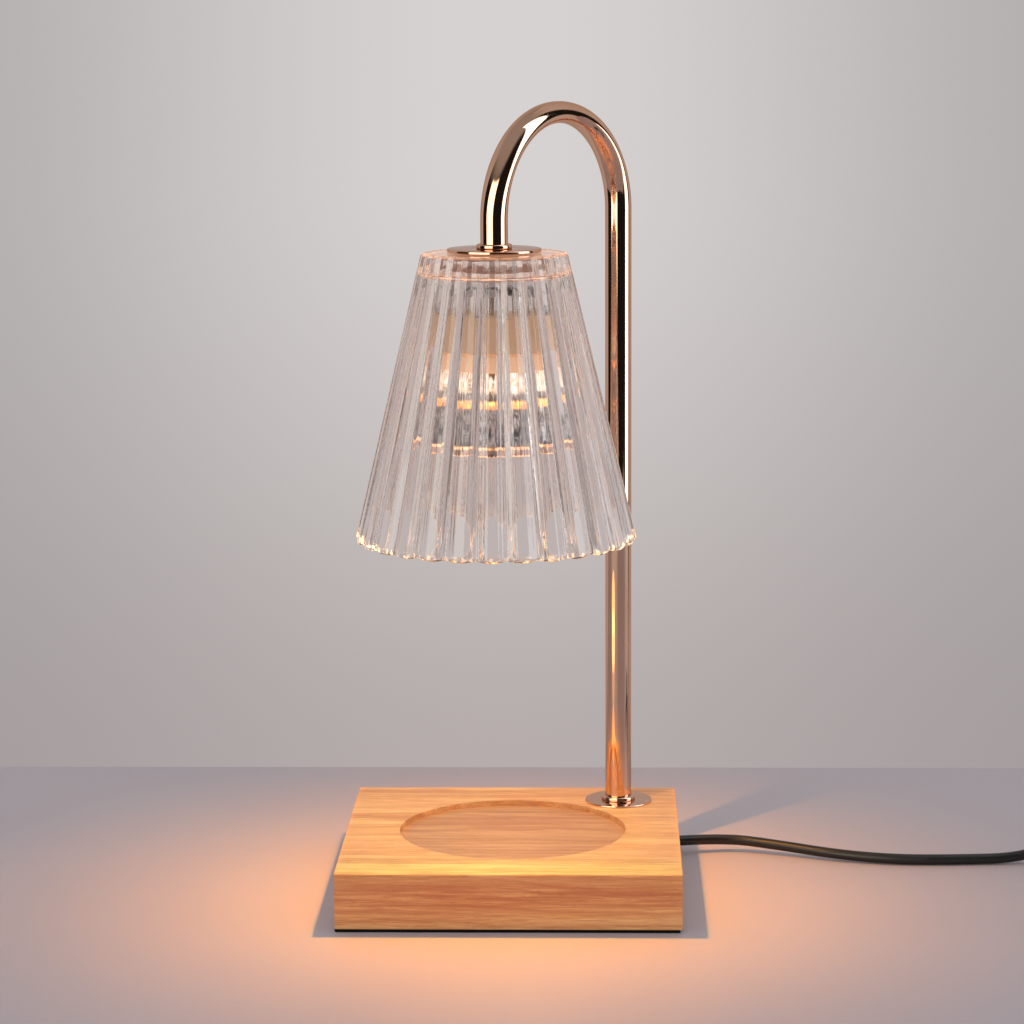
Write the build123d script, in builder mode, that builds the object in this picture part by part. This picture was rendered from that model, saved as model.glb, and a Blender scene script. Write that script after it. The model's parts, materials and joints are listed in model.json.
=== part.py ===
from build123d import *
import math
import os

os.makedirs("parts", exist_ok=True)

# Candle warmer lamp. Millimetres, +Z up, origin on the table under the middle of the
# wooden base. The front of the base faces -Y and the cord leaves through its right side, +X.

# ---------------------------------------------------------------- driving dimensions
base_w, base_d = 150.0, 150.0  # wooden base, across and front to back
pad_t = 1.5  # foam pad glued under the base
wood_t = 24.5  # thickness of the wooden base
base_top = pad_t + wood_t
recess_r, recess_depth = 51.0, 2.5  # shallow round seat for the candle jar

pole_x, pole_y = 48.0, 51.0  # axis of the upright
shade_x, shade_y = -6.0, -21.0  # axis of the hanging shade
bend_r = 45.0  # centreline radius of the gooseneck
bend_z = 302.0  # height where the bend starts and ends
tube_r, tube_wall = 6.0, 1.3
bend_flat = 0.194  # how much the tube flattens in the bend, as a share of its radius

flange_r, flange_t = 15.5, 1.0  # cover disc on the wood round the upright
collar_r, collar_t = 7.75, 2.0  # rings at both ends of the tube
nipple_r, nipple_bore_r = 4.68, 3.5  # hollow M10 x 1 threaded rod
nipple_hole_r = 5.2

well_r, well_h = 13.0, 14.0  # counterbore under the base for the nut
pocket_h = 12.0  # wiring pocket beside it
groove_r = 4.05  # round-topped groove for the cord
cord_r = 2.4
sleeve_bore_r = cord_r + 0.05
cord_y, cord_z = 51.0, 6.5  # where the cord leaves the base

disc_r, disc_t = 20.5, 1.3  # metal disc on top of the glass
disc_z = 288.7  # underside of that disc
glass_top, glass_bottom = 288.2, 162.2
glass_top_r, glass_bottom_r = 31.75, 61.75  # over the crests of the flutes
flutes = 28
flute_depth = 0.038  # depth of a valley, as a share of the crest radius
glass_wall = 2.6  # under a valley
glass_roof = 9.0

holder_len, holder_wid = 36.0, 24.0  # ceramic lampholder
holder_z = 244.5  # its underside
holder_body_h, holder_cap_h = 11.0, 5.0
pin_gap = 10.0  # distance between the two lamp pins
foot_x = 14.8  # the bracket's screws, from the middle
bulb_r = 25.2
bulb_z = 202.0  # lowest point of the lamp
bulb_turn = 20.0  # twist from locked to free, degrees

coil_x, coil_y = 384.0, -0.3  # middle of the coiled cord
coil_r, coil_r_in = 37.6, 18.4  # centreline radii of its outermost and innermost turns
coil_turns = 8.5  # in two layers
coil_out, coil_in = 40.1, 15.9
coil_h = 9.8
dim_x0, dim_x1 = 278.0, 336.0  # in-line dimmer
dim_y, dim_z = 37.3, 7.5  # axis of the cord through it
dim_w, dim_h = 27.0, 18.0
relief_len = 20.0
plug_x, plug_y, plug_z = 343.0, -37.9, 7.5  # tip of the plug's sleeve
plug_relief_len = 24.0

holder_top = holder_z + holder_body_h + holder_cap_h
d_x, d_y = (shade_x - pole_x) / (2 * bend_r), (shade_y - pole_y) / (2 * bend_r)


# ================================================================ base
# Solid wood with a round seat, a hole for the threaded rod and, underneath,
# a well for the nut, a pocket for the joints and a groove for the cord.
with BuildPart() as wood_base:
    with BuildSketch(Plane.XY.offset(pad_t)):
        Rectangle(base_w, base_d)
    extrude(amount=wood_t)
    fillet(wood_base.edges().filter_by(Axis.Z), 0.8)
    chamfer(wood_base.faces().sort_by(Axis.Z)[-1].edges(), 0.4)
    with BuildSketch(Plane.XY.offset(base_top)):
        Circle(recess_r)
    extrude(amount=-recess_depth, mode=Mode.SUBTRACT)
    with BuildSketch(Plane.XY.offset(pad_t)):
        with Locations((pole_x, pole_y)):
            Circle(nipple_hole_r)
    extrude(amount=wood_t, mode=Mode.SUBTRACT)
    with BuildSketch(Plane.XY.offset(pad_t)):
        with Locations((pole_x, pole_y)):
            Circle(well_r)
    extrude(amount=well_h, mode=Mode.SUBTRACT)
    with BuildSketch(Plane.XY.offset(pad_t)):
        with Locations((pole_x - 24.0, pole_y)):
            RectangleRounded(44.0, 22.0, 4.0)
    extrude(amount=pocket_h, mode=Mode.SUBTRACT)
    with BuildSketch(Plane.YZ.offset(base_w / 2 + 1.0)):
        with Locations((cord_y, cord_z)):
            Circle(groove_r)
        with Locations((cord_y, (pad_t + cord_z) / 2 - 0.5)):
            Rectangle(2 * groove_r, cord_z - pad_t + 1.0)
    extrude(amount=-(base_w / 2 + 1.0 - pole_x), mode=Mode.SUBTRACT)
wood_base.part.label = "wood_base"
export_step(wood_base.part, "parts/wood_base.step")

# Foam pad that closes the underside. It stops a little short of the right edge.
with BuildPart() as base_pad:
    with BuildSketch(Plane.XY):
        with Locations((-0.5, 0)):
            RectangleRounded(base_w - 1.2, base_d - 0.8, 1.0)
    extrude(amount=pad_t)
base_pad.part.label = "base_pad"
export_step(base_pad.part, "parts/base_pad.step")

# Thin polished disc that covers the hole in the wood.
with BuildPart() as base_flange:
    with BuildSketch(Plane.XY.offset(base_top)):
        with Locations((pole_x, pole_y)):
            Circle(flange_r)
            Circle(nipple_hole_r, mode=Mode.SUBTRACT)
    extrude(amount=flange_t)
    fillet(base_flange.edges().group_by(Axis.Z)[-1].sort_by(SortBy.LENGTH)[-1], 0.4)
base_flange.part.label = "base_flange"
export_step(base_flange.part, "parts/base_flange.step")

# Ring that the foot of the tube stands on.
with BuildPart() as base_collar:
    with BuildSketch(Plane.XY.offset(base_top + flange_t)):
        with Locations((pole_x, pole_y)):
            Circle(collar_r)
            Circle(nipple_hole_r, mode=Mode.SUBTRACT)
    extrude(amount=collar_t)
    fillet(base_collar.edges().group_by(Axis.Z)[-1].sort_by(SortBy.LENGTH)[-1], 0.9)
    fillet(base_collar.edges().group_by(Axis.Z)[0].sort_by(SortBy.LENGTH)[-1], 0.4)
base_collar.part.label = "base_collar"
export_step(base_collar.part, "parts/base_collar.step")

tube_foot = base_top + flange_t + collar_t
leg_foot = disc_z + disc_t + collar_t

# Hollow threaded rod that pulls the tube down onto the base.
with BuildPart() as base_nipple:
    with BuildSketch(Plane.XY.offset(8.8)):
        with Locations((pole_x, pole_y)):
            Circle(nipple_r)
            Circle(nipple_bore_r, mode=Mode.SUBTRACT)
    extrude(amount=tube_foot + 14.0 - 8.8)
    chamfer(base_nipple.edges().filter_by(GeomType.CIRCLE).group_by(SortBy.RADIUS)[-1], 0.5)
base_nipple.part.label = "base_nipple"
export_step(base_nipple.part, "parts/base_nipple.step")

# Flat washer, toothed lock washer and hexagon nut in the well.
well_top = pad_t + well_h
with BuildPart() as base_washer:
    with BuildSketch(Plane.XY.offset(well_top - 1.5)):
        with Locations((pole_x, pole_y)):
            Circle(11.0)
            Circle(nipple_hole_r, mode=Mode.SUBTRACT)
    extrude(amount=1.5)
base_washer.part.label = "base_washer"
export_step(base_washer.part, "parts/base_washer.step")

with BuildPart() as base_lock_washer:
    with BuildSketch(Plane.XY.offset(well_top - 2.3)):
        with Locations((pole_x, pole_y)):
            Circle(7.4)
            with PolarLocations(8.0, 10):
                RectangleRounded(2.2, 2.2, 0.4)
            Circle(nipple_hole_r, mode=Mode.SUBTRACT)
    extrude(amount=0.8)
base_lock_washer.part.label = "base_lock_washer"
export_step(base_lock_washer.part, "parts/base_lock_washer.step")

with BuildPart() as base_nut:
    with BuildSketch(Plane.XY.offset(well_top - 5.5)):
        with Locations((pole_x, pole_y)):
            RegularPolygon(7.0, 6, major_radius=False)
            Circle(nipple_r + 0.02, mode=Mode.SUBTRACT)
    extrude(amount=3.2)
    chamfer(base_nut.faces().sort_by(Axis.Z)[0].edges().filter_by(GeomType.LINE), 0.4)
base_nut.part.label = "base_nut"
export_step(base_nut.part, "parts/base_nut.step")

# Moulded sleeve that anchors the cord in the groove: a head inside the well and
# a tapered body whose end is flush with the side of the base.
with BuildPart() as cord_bush:
    with BuildSketch(Plane.XZ.offset(-cord_y)):
        with BuildLine():
            Polyline(
                (54.0, cord_z + sleeve_bore_r),
                (54.0, cord_z + 3.3),
                (57.0, cord_z + 3.3),
                (57.0, cord_z + 4.8),
                (59.6, cord_z + 4.8),
                (59.6, cord_z + 3.95),
                (63.0, cord_z + 3.95),
                (75.0, cord_z + 3.1),
                (75.0, cord_z + sleeve_bore_r),
                close=True,
            )
        make_face()
    revolve(axis=Axis((0, cord_y, cord_z), (1, 0, 0)))
cord_bush.part.label = "cord_bush"
export_step(cord_bush.part, "parts/cord_bush.step")

# The sheathed cord where it runs inside a sleeve: at the base, at the dimmer's
# inlet and at the plug.
with BuildPart() as cord_ends:
    for x, length, y, z in (
        (53.2, 21.8, cord_y, cord_z),
        (dim_x0 - relief_len, relief_len + 4.0, dim_y, dim_z),
        (plug_x - plug_relief_len - 4.0, plug_relief_len + 4.0, plug_y, plug_z),
    ):
        with BuildSketch(Plane.YZ.offset(x)):
            with Locations((y, z)):
                Circle(cord_r)
        extrude(amount=length)
cord_ends.part.label = "cord_ends"
export_step(cord_ends.part, "parts/cord_ends.step")

# Two closed-end crimp caps that join the cores to the lamp's leads.
with BuildPart() as crimp_caps:
    for side in (-1, 1):
        with BuildSketch(Plane.YZ.offset(26.0)):
            with Locations((cord_y + side * 5.0, 5.2)):
                Circle(3.2)
        extrude(amount=-15.0)
    fillet(crimp_caps.faces().filter_by(Axis.X).group_by(Axis.X)[0].edges(), 1.2)
crimp_caps.part.label = "crimp_caps"
export_step(crimp_caps.part, "parts/crimp_caps.step")

# The two cores of the cord cross under the threaded rod to the joints.
with BuildPart() as supply_cores:
    for side in (-1, 1):
        with BuildLine() as core_line:
            FilletPolyline(
                (53.2, cord_y + side * 1.15, cord_z),
                (48.0, cord_y + side * 1.6, 3.6),
                (39.0, cord_y + side * 3.6, 3.3),
                (26.0, cord_y + side * 5.0, 3.9),
                radius=[4.0, 6.0],
            )
        with BuildSketch(Plane(core_line.wire() @ 0, z_dir=core_line.wire() % 0)):
            Circle(0.9)
        sweep(path=core_line.wire())
    add(cord_ends.part, mode=Mode.SUBTRACT)
    add(crimp_caps.part, mode=Mode.SUBTRACT)
supply_cores.part.label = "supply_cores"
export_step(supply_cores.part, "parts/supply_cores.step")

# Two leads from the joints up through the threaded rod, round the gooseneck and
# down to the lampholder, side by side on both sides of the tube's middle.
with BuildPart() as lamp_leads:
    for side in (-1, 1):
        ox, oy = side * 1.3 * -d_y, side * 1.3 * d_x
        with BuildLine() as lead_line:
            low = (pole_x + ox, pole_y + oy, 9.5)
            bend = FilletPolyline(
                (26.0, cord_y - side * 5.0, 6.6),
                (36.0, cord_y - side * 4.2, 6.45),
                (pole_x + ox, pole_y + oy, 6.3),
                low,
                radius=[5.0, 2.6],
            )
            up = Line(bend @ 1, (pole_x + ox, pole_y + oy, bend_z))
            over = ThreePointArc(
                up @ 1,
                (pole_x + d_x * bend_r + ox, pole_y + d_y * bend_r + oy, bend_z + bend_r),
                (shade_x + ox, shade_y + oy, bend_z),
            )
            Line(over @ 1, (shade_x + ox, shade_y + oy, holder_top))
        with BuildSketch(Plane(lead_line.wire() @ 0, z_dir=lead_line.wire() % 0)):
            Circle(0.9)
        sweep(path=lead_line.wire())
    add(crimp_caps.part, mode=Mode.SUBTRACT)
lamp_leads.part.label = "lamp_leads"
export_step(lamp_leads.part, "parts/lamp_leads.step")


# ================================================================ gooseneck
# One tube: a straight upright, a half-circle bend in which the section
# flattens a little, and a short straight leg down to the shade.
with BuildPart() as tube_outside:
    with BuildSketch(Plane.XY.offset(tube_foot)):
        with Locations((pole_x, pole_y)):
            Circle(tube_r)
    extrude(amount=bend_z - tube_foot)
    with BuildSketch(Plane.XY.offset(leg_foot)):
        with Locations((shade_x, shade_y)):
            Circle(tube_r)
    extrude(amount=bend_z - leg_foot)
with BuildPart() as tube_inside:
    with BuildSketch(Plane.XY.offset(tube_foot)):
        with Locations((pole_x, pole_y)):
            Circle(tube_r - tube_wall)
    extrude(amount=bend_z - tube_foot)
    with BuildSketch(Plane.XY.offset(leg_foot)):
        with Locations((shade_x, shade_y)):
            Circle(tube_r - tube_wall)
    extrude(amount=bend_z - leg_foot)


def bend_point(t):
    return (
        pole_x + d_x * bend_r * (1 - math.cos(t)),
        pole_y + d_y * bend_r * (1 - math.cos(t)),
        bend_z + bend_r * math.sin(t),
    )


def bend_plane(t):
    return Plane(
        origin=bend_point(t),
        x_dir=(d_x * math.cos(t), d_y * math.cos(t), -math.sin(t)),
        z_dir=(d_x * math.sin(t), d_y * math.sin(t), math.cos(t)),
    )


# Round to flattened, flattened round the top, flattened to round again.
bend_parts = []
for wall in (0.0, tube_wall):
    for stations in ((0, 12, 24, 36), (36, 144), (144, 156, 168, 180)):
        first, last = math.radians(stations[0]), math.radians(stations[-1])
        with BuildPart() as bent:
            with BuildLine() as bend_line:
                ThreePointArc(
                    bend_point(first), bend_point((first + last) / 2), bend_point(last)
                )
            for deg in stations if len(stations) > 2 else stations[:1]:
                u = min(deg, 180 - deg) / 36
                flat = bend_flat * u * u * (3 - 2 * u)
                with BuildSketch(bend_plane(math.radians(deg))):
                    if u == 0:
                        Circle(tube_r - wall)
                    else:
                        Ellipse(tube_r * (1 - flat) - wall, tube_r * (1 + 0.45 * flat) - wall)
            sweep(path=bend_line.wire(), multisection=len(stations) > 2)
        bend_parts.append(bent.part)

with BuildPart() as pole_tube:
    add(tube_outside.part)
    for bent_part in bend_parts[:3]:
        add(bent_part)
    add(tube_inside.part, mode=Mode.SUBTRACT)
    for bent_part in bend_parts[3:]:
        add(bent_part, mode=Mode.SUBTRACT)
pole_tube.part.label = "pole_tube"
export_step(pole_tube.part, "parts/pole_tube.step")


# ================================================================ shade
# Ring at the end of the leg.
with BuildPart() as shade_collar:
    with BuildSketch(Plane.XY.offset(disc_z + disc_t)):
        with Locations((shade_x, shade_y)):
            Circle(collar_r)
            Circle(nipple_hole_r, mode=Mode.SUBTRACT)
    extrude(amount=collar_t)
    fillet(shade_collar.edges().group_by(Axis.Z)[-1].sort_by(SortBy.LENGTH)[-1], 0.9)
    fillet(shade_collar.edges().group_by(Axis.Z)[0].sort_by(SortBy.LENGTH)[-1], 0.4)
shade_collar.part.label = "shade_collar"
export_step(shade_collar.part, "parts/shade_collar.step")

# Polished disc that presses on the glass.
with BuildPart() as top_disc:
    with BuildSketch(Plane.XY.offset(disc_z)):
        with Locations((shade_x, shade_y)):
            Circle(disc_r)
            Circle(nipple_hole_r, mode=Mode.SUBTRACT)
    extrude(amount=disc_t)
    fillet(top_disc.edges().group_by(Axis.Z)[-1].sort_by(SortBy.LENGTH)[-1], 0.45)
top_disc.part.label = "top_disc"
export_step(top_disc.part, "parts/top_disc.step")

# Thin silicone washer between the disc and the glass.
with BuildPart() as disc_gasket:
    with BuildSketch(Plane.XY.offset(glass_top)):
        with Locations((shade_x, shade_y)):
            Circle(17.0)
            Circle(nipple_hole_r, mode=Mode.SUBTRACT)
    extrude(amount=disc_z - glass_top)
disc_gasket.part.label = "disc_gasket"
export_step(disc_gasket.part, "parts/disc_gasket.step")

# Pressed glass shade: a cone of convex flutes outside, smooth inside, with a
# thick flat roof and a hole for the threaded rod.
roof_z = glass_top - glass_roof
slope = (glass_bottom_r - glass_top_r) / (glass_top - glass_bottom)
valley = 1 - flute_depth
inner_bottom = glass_bottom_r * valley - glass_wall
inner_roof = (glass_bottom_r - slope * (roof_z - glass_bottom)) * valley - glass_wall
with BuildPart() as glass_shade:
    for z, r in ((glass_bottom, glass_bottom_r), (glass_top, glass_top_r)):
        with BuildSketch(Plane((shade_x, shade_y, z))):
            with BuildLine():
                for i in range(flutes):
                    a = 2 * math.pi * i / flutes
                    h = math.pi / flutes
                    ThreePointArc(
                        (r * valley * math.cos(a - h), r * valley * math.sin(a - h)),
                        (r * math.cos(a), r * math.sin(a)),
                        (r * valley * math.cos(a + h), r * valley * math.sin(a + h)),
                    )
            make_face()
    loft(ruled=True)
    with BuildSketch(Plane((shade_x, shade_y, glass_bottom))):
        Circle(inner_bottom)
    with BuildSketch(Plane((shade_x, shade_y, roof_z))):
        Circle(inner_roof)
    loft(ruled=True, mode=Mode.SUBTRACT)
    with BuildSketch(Plane((shade_x, shade_y, roof_z))):
        Circle(nipple_hole_r + 0.3)
    extrude(amount=glass_roof, mode=Mode.SUBTRACT)
glass_shade.part.label = "glass_shade"
export_step(glass_shade.part, "parts/glass_shade.step")

# Soft washer, steel washer and nut that clamp the glass from inside.
with BuildPart() as roof_gasket:
    with BuildSketch(Plane.XY.offset(roof_z - 1.0)):
        with Locations((shade_x, shade_y)):
            Circle(15.0)
            Circle(nipple_hole_r, mode=Mode.SUBTRACT)
    extrude(amount=1.0)
roof_gasket.part.label = "roof_gasket"
export_step(roof_gasket.part, "parts/roof_gasket.step")

with BuildPart() as shade_washer:
    with BuildSketch(Plane.XY.offset(roof_z - 2.5)):
        with Locations((shade_x, shade_y)):
            Circle(14.0)
            Circle(nipple_hole_r, mode=Mode.SUBTRACT)
    extrude(amount=1.5)
    fillet(shade_washer.edges().group_by(Axis.Z)[0].sort_by(SortBy.LENGTH)[-1], 0.5)
shade_washer.part.label = "shade_washer"
export_step(shade_washer.part, "parts/shade_washer.step")

nut_z = roof_z - 6.5
with BuildPart() as shade_nuts:
    for z in (nut_z, nut_z - 4.7):
        with BuildSketch(Plane.XY.offset(z)):
            with Locations((shade_x, shade_y)):
                RegularPolygon(7.0, 6, major_radius=False)
                Circle(nipple_r + 0.02, mode=Mode.SUBTRACT)
        extrude(amount=4.0 if z == nut_z else 3.5)
shade_nuts.part.label = "shade_nuts"
export_step(shade_nuts.part, "parts/shade_nuts.step")

# Hollow threaded rod from inside the leg down through glass and bracket.
nipple_end = nut_z - 5.9
with BuildPart() as shade_nipple:
    with BuildSketch(Plane.XY.offset(nipple_end)):
        with Locations((shade_x, shade_y)):
            Circle(nipple_r)
            Circle(nipple_bore_r, mode=Mode.SUBTRACT)
    extrude(amount=leg_foot + 9.0 - nipple_end)
    chamfer(shade_nipple.edges().filter_by(GeomType.CIRCLE).group_by(SortBy.RADIUS)[-1], 0.5)
shade_nipple.part.label = "shade_nipple"
export_step(shade_nipple.part, "parts/shade_nipple.step")

# Zinc-plated stirrup: a bent strip, 13 wide and 1.2 thick, whose top is held
# between the two nuts and whose feet are screwed to the ceramic.
with BuildPart() as holder_bracket:
    with BuildSketch(Plane.XZ.offset(-shade_y)):
        with BuildLine():
            strip = FilletPolyline(
                (shade_x - 17.0, holder_top + 0.6),
                (shade_x - 11.0, holder_top + 0.6),
                (shade_x - 11.0, nut_z - 0.6),
                (shade_x + 11.0, nut_z - 0.6),
                (shade_x + 11.0, holder_top + 0.6),
                (shade_x + 17.0, holder_top + 0.6),
                radius=1.6,
            )
            offset(strip, amount=0.6, side=Side.BOTH, kind=Kind.INTERSECTION)
        make_face()
    extrude(amount=6.5, both=True)
    with BuildSketch(Plane.XY.offset(nut_z - 2.0)):
        with Locations((shade_x, shade_y)):
            Circle(nipple_hole_r)
    extrude(amount=3.0, mode=Mode.SUBTRACT)
    with BuildSketch(Plane.XY.offset(holder_top - 1.0)):
        with Locations((shade_x - foot_x, shade_y), (shade_x + foot_x, shade_y)):
            Circle(1.7)
    extrude(amount=3.0, mode=Mode.SUBTRACT)
holder_bracket.part.label = "holder_bracket"
export_step(holder_bracket.part, "parts/holder_bracket.step")

# Two screws through the feet of the stirrup into the ceramic.
with BuildPart() as bracket_screws:
    for side in (-1, 1):
        with BuildSketch(Plane((shade_x + side * foot_x, shade_y, holder_top + 1.2))):
            Circle(2.15)
        extrude(amount=1.8)
        with BuildSketch(Plane((shade_x + side * foot_x, shade_y, holder_top - 9.0))):
            Circle(1.5)
        extrude(amount=10.2)
    fillet(bracket_screws.faces().sort_by(Axis.Z)[-2:].edges(), 0.7)
    with BuildSketch(Plane.XY.offset(holder_top + 3.0)):
        with Locations((shade_x - foot_x, shade_y), (shade_x + foot_x, shade_y)):
            Rectangle(2.6, 0.6)
            Rectangle(0.6, 2.6)
    extrude(amount=-1.0, mode=Mode.SUBTRACT)
bracket_screws.part.label = "bracket_screws"
export_step(bracket_screws.part, "parts/bracket_screws.step")

# Ceramic lampholder, lower half: two bayonet slots for the lamp's pins, each
# with a narrow mouth and a wider chamber above it.
with BuildPart() as holder_body:
    with BuildSketch(Plane((shade_x, shade_y, holder_z))):
        RectangleRounded(holder_len, holder_wid, 8.0)
    extrude(amount=holder_body_h)
    fillet(holder_body.faces().sort_by(Axis.Z)[0].edges(), 0.8)
    # mouth: a track for the shank along the twist, with a round hole at its free end
    with BuildSketch(Plane((shade_x, shade_y, holder_z))):
        with BuildLine() as track:
            CenterArc((0, 0), pin_gap / 2, -4.0 - bulb_turn, bulb_turn + 8.0)
        SlotArc(track.wire(), 4.0)
        with PolarLocations(pin_gap / 2, 1, -bulb_turn):
            Circle(2.9)
        with BuildLine() as track_2:
            CenterArc((0, 0), pin_gap / 2, 176.0 - bulb_turn, bulb_turn + 8.0)
        SlotArc(track_2.wire(), 4.0)
        with PolarLocations(pin_gap / 2, 1, 180 - bulb_turn):
            Circle(2.9)
    extrude(amount=3.2, mode=Mode.SUBTRACT)
    # chamber for the pin's head and the contact
    with BuildSketch(Plane((shade_x, shade_y, holder_z + 3.2))):
        with BuildLine() as room:
            CenterArc((0, 0), pin_gap / 2 + 0.5, -4.0 - bulb_turn, bulb_turn + 8.0)
        SlotArc(room.wire(), 6.8)
        with BuildLine() as room_2:
            CenterArc((0, 0), pin_gap / 2 + 0.5, 176.0 - bulb_turn, bulb_turn + 8.0)
        SlotArc(room_2.wire(), 6.8)
    extrude(amount=holder_body_h - 3.2, mode=Mode.SUBTRACT)
    with BuildSketch(Plane.XY.offset(holder_z + 3.0)):
        with Locations((shade_x - foot_x, shade_y), (shade_x + foot_x, shade_y)):
            Circle(1.55)
    extrude(amount=holder_body_h, mode=Mode.SUBTRACT)
holder_body.part.label = "holder_body"
export_step(holder_body.part, "parts/holder_body.step")

# Ceramic cover over the chambers, with a hole for each lead.
with BuildPart() as holder_cap:
    with BuildSketch(Plane((shade_x, shade_y, holder_z + holder_body_h))):
        RectangleRounded(holder_len, holder_wid, 8.0)
    extrude(amount=holder_cap_h)
    fillet(holder_cap.faces().sort_by(Axis.Z)[-1].edges(), 0.6)
    with BuildSketch(Plane.XY.offset(holder_z + holder_body_h)):
        with Locations((shade_x - foot_x, shade_y), (shade_x + foot_x, shade_y)):
            Circle(1.55)
    extrude(amount=holder_cap_h, mode=Mode.SUBTRACT)
holder_cap.part.label = "holder_cap"
export_step(holder_cap.part, "parts/holder_cap.step")

# Sprung contact plates above the pins' heads.
with BuildPart() as holder_contacts:
    with BuildSketch(Plane((shade_x, shade_y, holder_z + holder_body_h - 0.6))):
        with Locations((-6.0, 0.8), (6.0, -0.8)):
            RectangleRounded(4.6, 5.0, 0.8)
    extrude(amount=0.6)
    with BuildSketch(Plane((shade_x, shade_y, holder_z + 7.4))):
        with Locations((-5.2, 0.6), (5.2, -0.6)):
            Circle(1.2)
    extrude(amount=holder_body_h - 8.0)
holder_contacts.part.label = "holder_contacts"
export_step(holder_contacts.part, "parts/holder_contacts.step")


# ================================================================ lamp
# Ceramic foot of the reflector lamp.
foot_top = holder_z - 0.4
with BuildPart() as bulb_foot:
    with BuildSketch(Plane((shade_x, shade_y, foot_top - 7.2))):
        Circle(14.6)
    with BuildSketch(Plane((shade_x, shade_y, foot_top))):
        Circle(13.4)
    loft(ruled=True)
    fillet(bulb_foot.faces().sort_by(Axis.Z)[-1].edges(), 1.0)
bulb_foot.part.label = "bulb_foot"
export_step(bulb_foot.part, "parts/bulb_foot.step")

# Two headed pins that lock in the lampholder.
with BuildPart() as bulb_pins:
    for side in (-1, 1):
        with BuildSketch(Plane((shade_x + side * pin_gap / 2, shade_y, foot_top))):
            Circle(1.5)
        extrude(amount=4.4)
        with BuildSketch(Plane((shade_x + side * pin_gap / 2, shade_y, foot_top + 4.4))):
            Circle(2.5)
        extrude(amount=3.0)
    fillet(bulb_pins.faces().sort_by(Axis.Z)[-2:].edges(), 0.7)
bulb_pins.part.label = "bulb_pins"
export_step(bulb_pins.part, "parts/bulb_pins.step")

# Pressed glass reflector: solid neck under the foot, bowl with a rolled rim.
neck_z = foot_top - 7.2
with BuildPart() as bulb_reflector:
    with BuildSketch(Plane.XZ.offset(-shade_y)):
        with BuildLine():
            outer = Spline(
                (shade_x + 14.4, neck_z),
                (shade_x + 15.2, 230.0),
                (shade_x + 17.6, 222.5),
                (shade_x + 21.6, 213.0),
                (shade_x + 24.4, 206.6),
            )
            rim = Polyline(
                outer @ 1,
                (shade_x + bulb_r, 206.0),
                (shade_x + bulb_r, bulb_z),
                (shade_x + 23.6, bulb_z),
                (shade_x + 23.6, 205.4),
            )
            inner = Spline(
                rim @ 1,
                (shade_x + 20.4, 212.2),
                (shade_x + 16.4, 221.5),
                (shade_x + 13.6, 229.5),
                (shade_x + 12.6, neck_z),
            )
            Line(inner @ 1, outer @ 0)
        make_face()
    revolve(axis=Axis((shade_x, shade_y, 0), (0, 0, 1)))
bulb_reflector.part.label = "bulb_reflector"
export_step(bulb_reflector.part, "parts/bulb_reflector.step")

# Front glass, slightly domed, seated in the rim.
with BuildPart() as bulb_lens:
    with BuildSketch(Plane.XZ.offset(-shade_y)):
        with BuildLine():
            dome = TangentArc((shade_x, 202.3), (shade_x + 23.5, 203.2), tangent=(1, 0))
            Polyline(dome @ 1, (shade_x + 23.5, 205.0), (shade_x, 205.0), dome @ 0)
        make_face()
    revolve(axis=Axis((shade_x, shade_y, 0), (0, 0, 1)))
bulb_lens.part.label = "bulb_lens"
export_step(bulb_lens.part, "parts/bulb_lens.step")

# Quartz capsule on the lamp's axis, and the coiled filament inside it.
with BuildPart() as bulb_capsule:
    with BuildSketch(Plane.XZ.offset(-shade_y)):
        with BuildLine():
            outer = Polyline(
                (shade_x + 4.6, neck_z),
                (shade_x + 4.6, 231.5),
                (shade_x + 5.2, 230.5),
                (shade_x + 5.2, 219.5),
            )
            tip = TangentArc(outer @ 1, (shade_x, 214.3), tangent=(0, -1))
            wall_line = Line(tip @ 1, (shade_x, 215.3))
            hollow = TangentArc(wall_line @ 1, (shade_x + 4.2, 219.5), tangent=(1, 0))
            Polyline(
                hollow @ 1,
                (shade_x + 4.2, 230.0),
                (shade_x + 3.6, 231.0),
                (shade_x + 3.6, neck_z),
                outer @ 0,
            )
        make_face()
    revolve(axis=Axis((shade_x, shade_y, 0), (0, 0, 1)))
bulb_capsule.part.label = "bulb_capsule"
export_step(bulb_capsule.part, "parts/bulb_capsule.step")

with BuildPart() as bulb_filament:
    with BuildSketch(Plane((shade_x, shade_y, 219.0))):
        Circle(0.9)
    extrude(amount=8.0)
    with BuildSketch(Plane((shade_x, shade_y, 227.0))):
        with Locations((-0.55, 0), (0.55, 0)):
            Circle(0.25)
    extrude(amount=neck_z - 227.0)
bulb_filament.part.label = "bulb_filament"
export_step(bulb_filament.part, "parts/bulb_filament.step")


# ================================================================ cord
# Free cord from the base to the dimmer, lying on the table.
cord_points = [
    (75.0, 51.0, 6.5),
    (98.0, 58.2, 6.1),
    (123.0, 50.6, 4.7),
    (149.0, 40.2, 3.2),
    (176.0, 34.0, 2.5),
    (205.0, 34.2, 2.55),
    (231.0, 36.6, 2.6),
    (245.0, 37.2, 6.9),
    (258.0, 37.3, 7.5),
]
tail_points = [
    (378.0, -37.9, 2.5),
    (366.0, -37.7, 2.7),
    (354.5, -37.9, 7.1),
    (343.0, -37.9, 7.5),
]


def corner_radii(points):
    radii = []
    for a, b, c in zip(points, points[1:], points[2:]):
        u, v = Vector(*b) - Vector(*a), Vector(*c) - Vector(*b)
        turn = math.radians(u.get_angle(v))
        radii.append(0.45 * min(u.length, v.length) / math.tan(turn / 2))
    return radii


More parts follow.
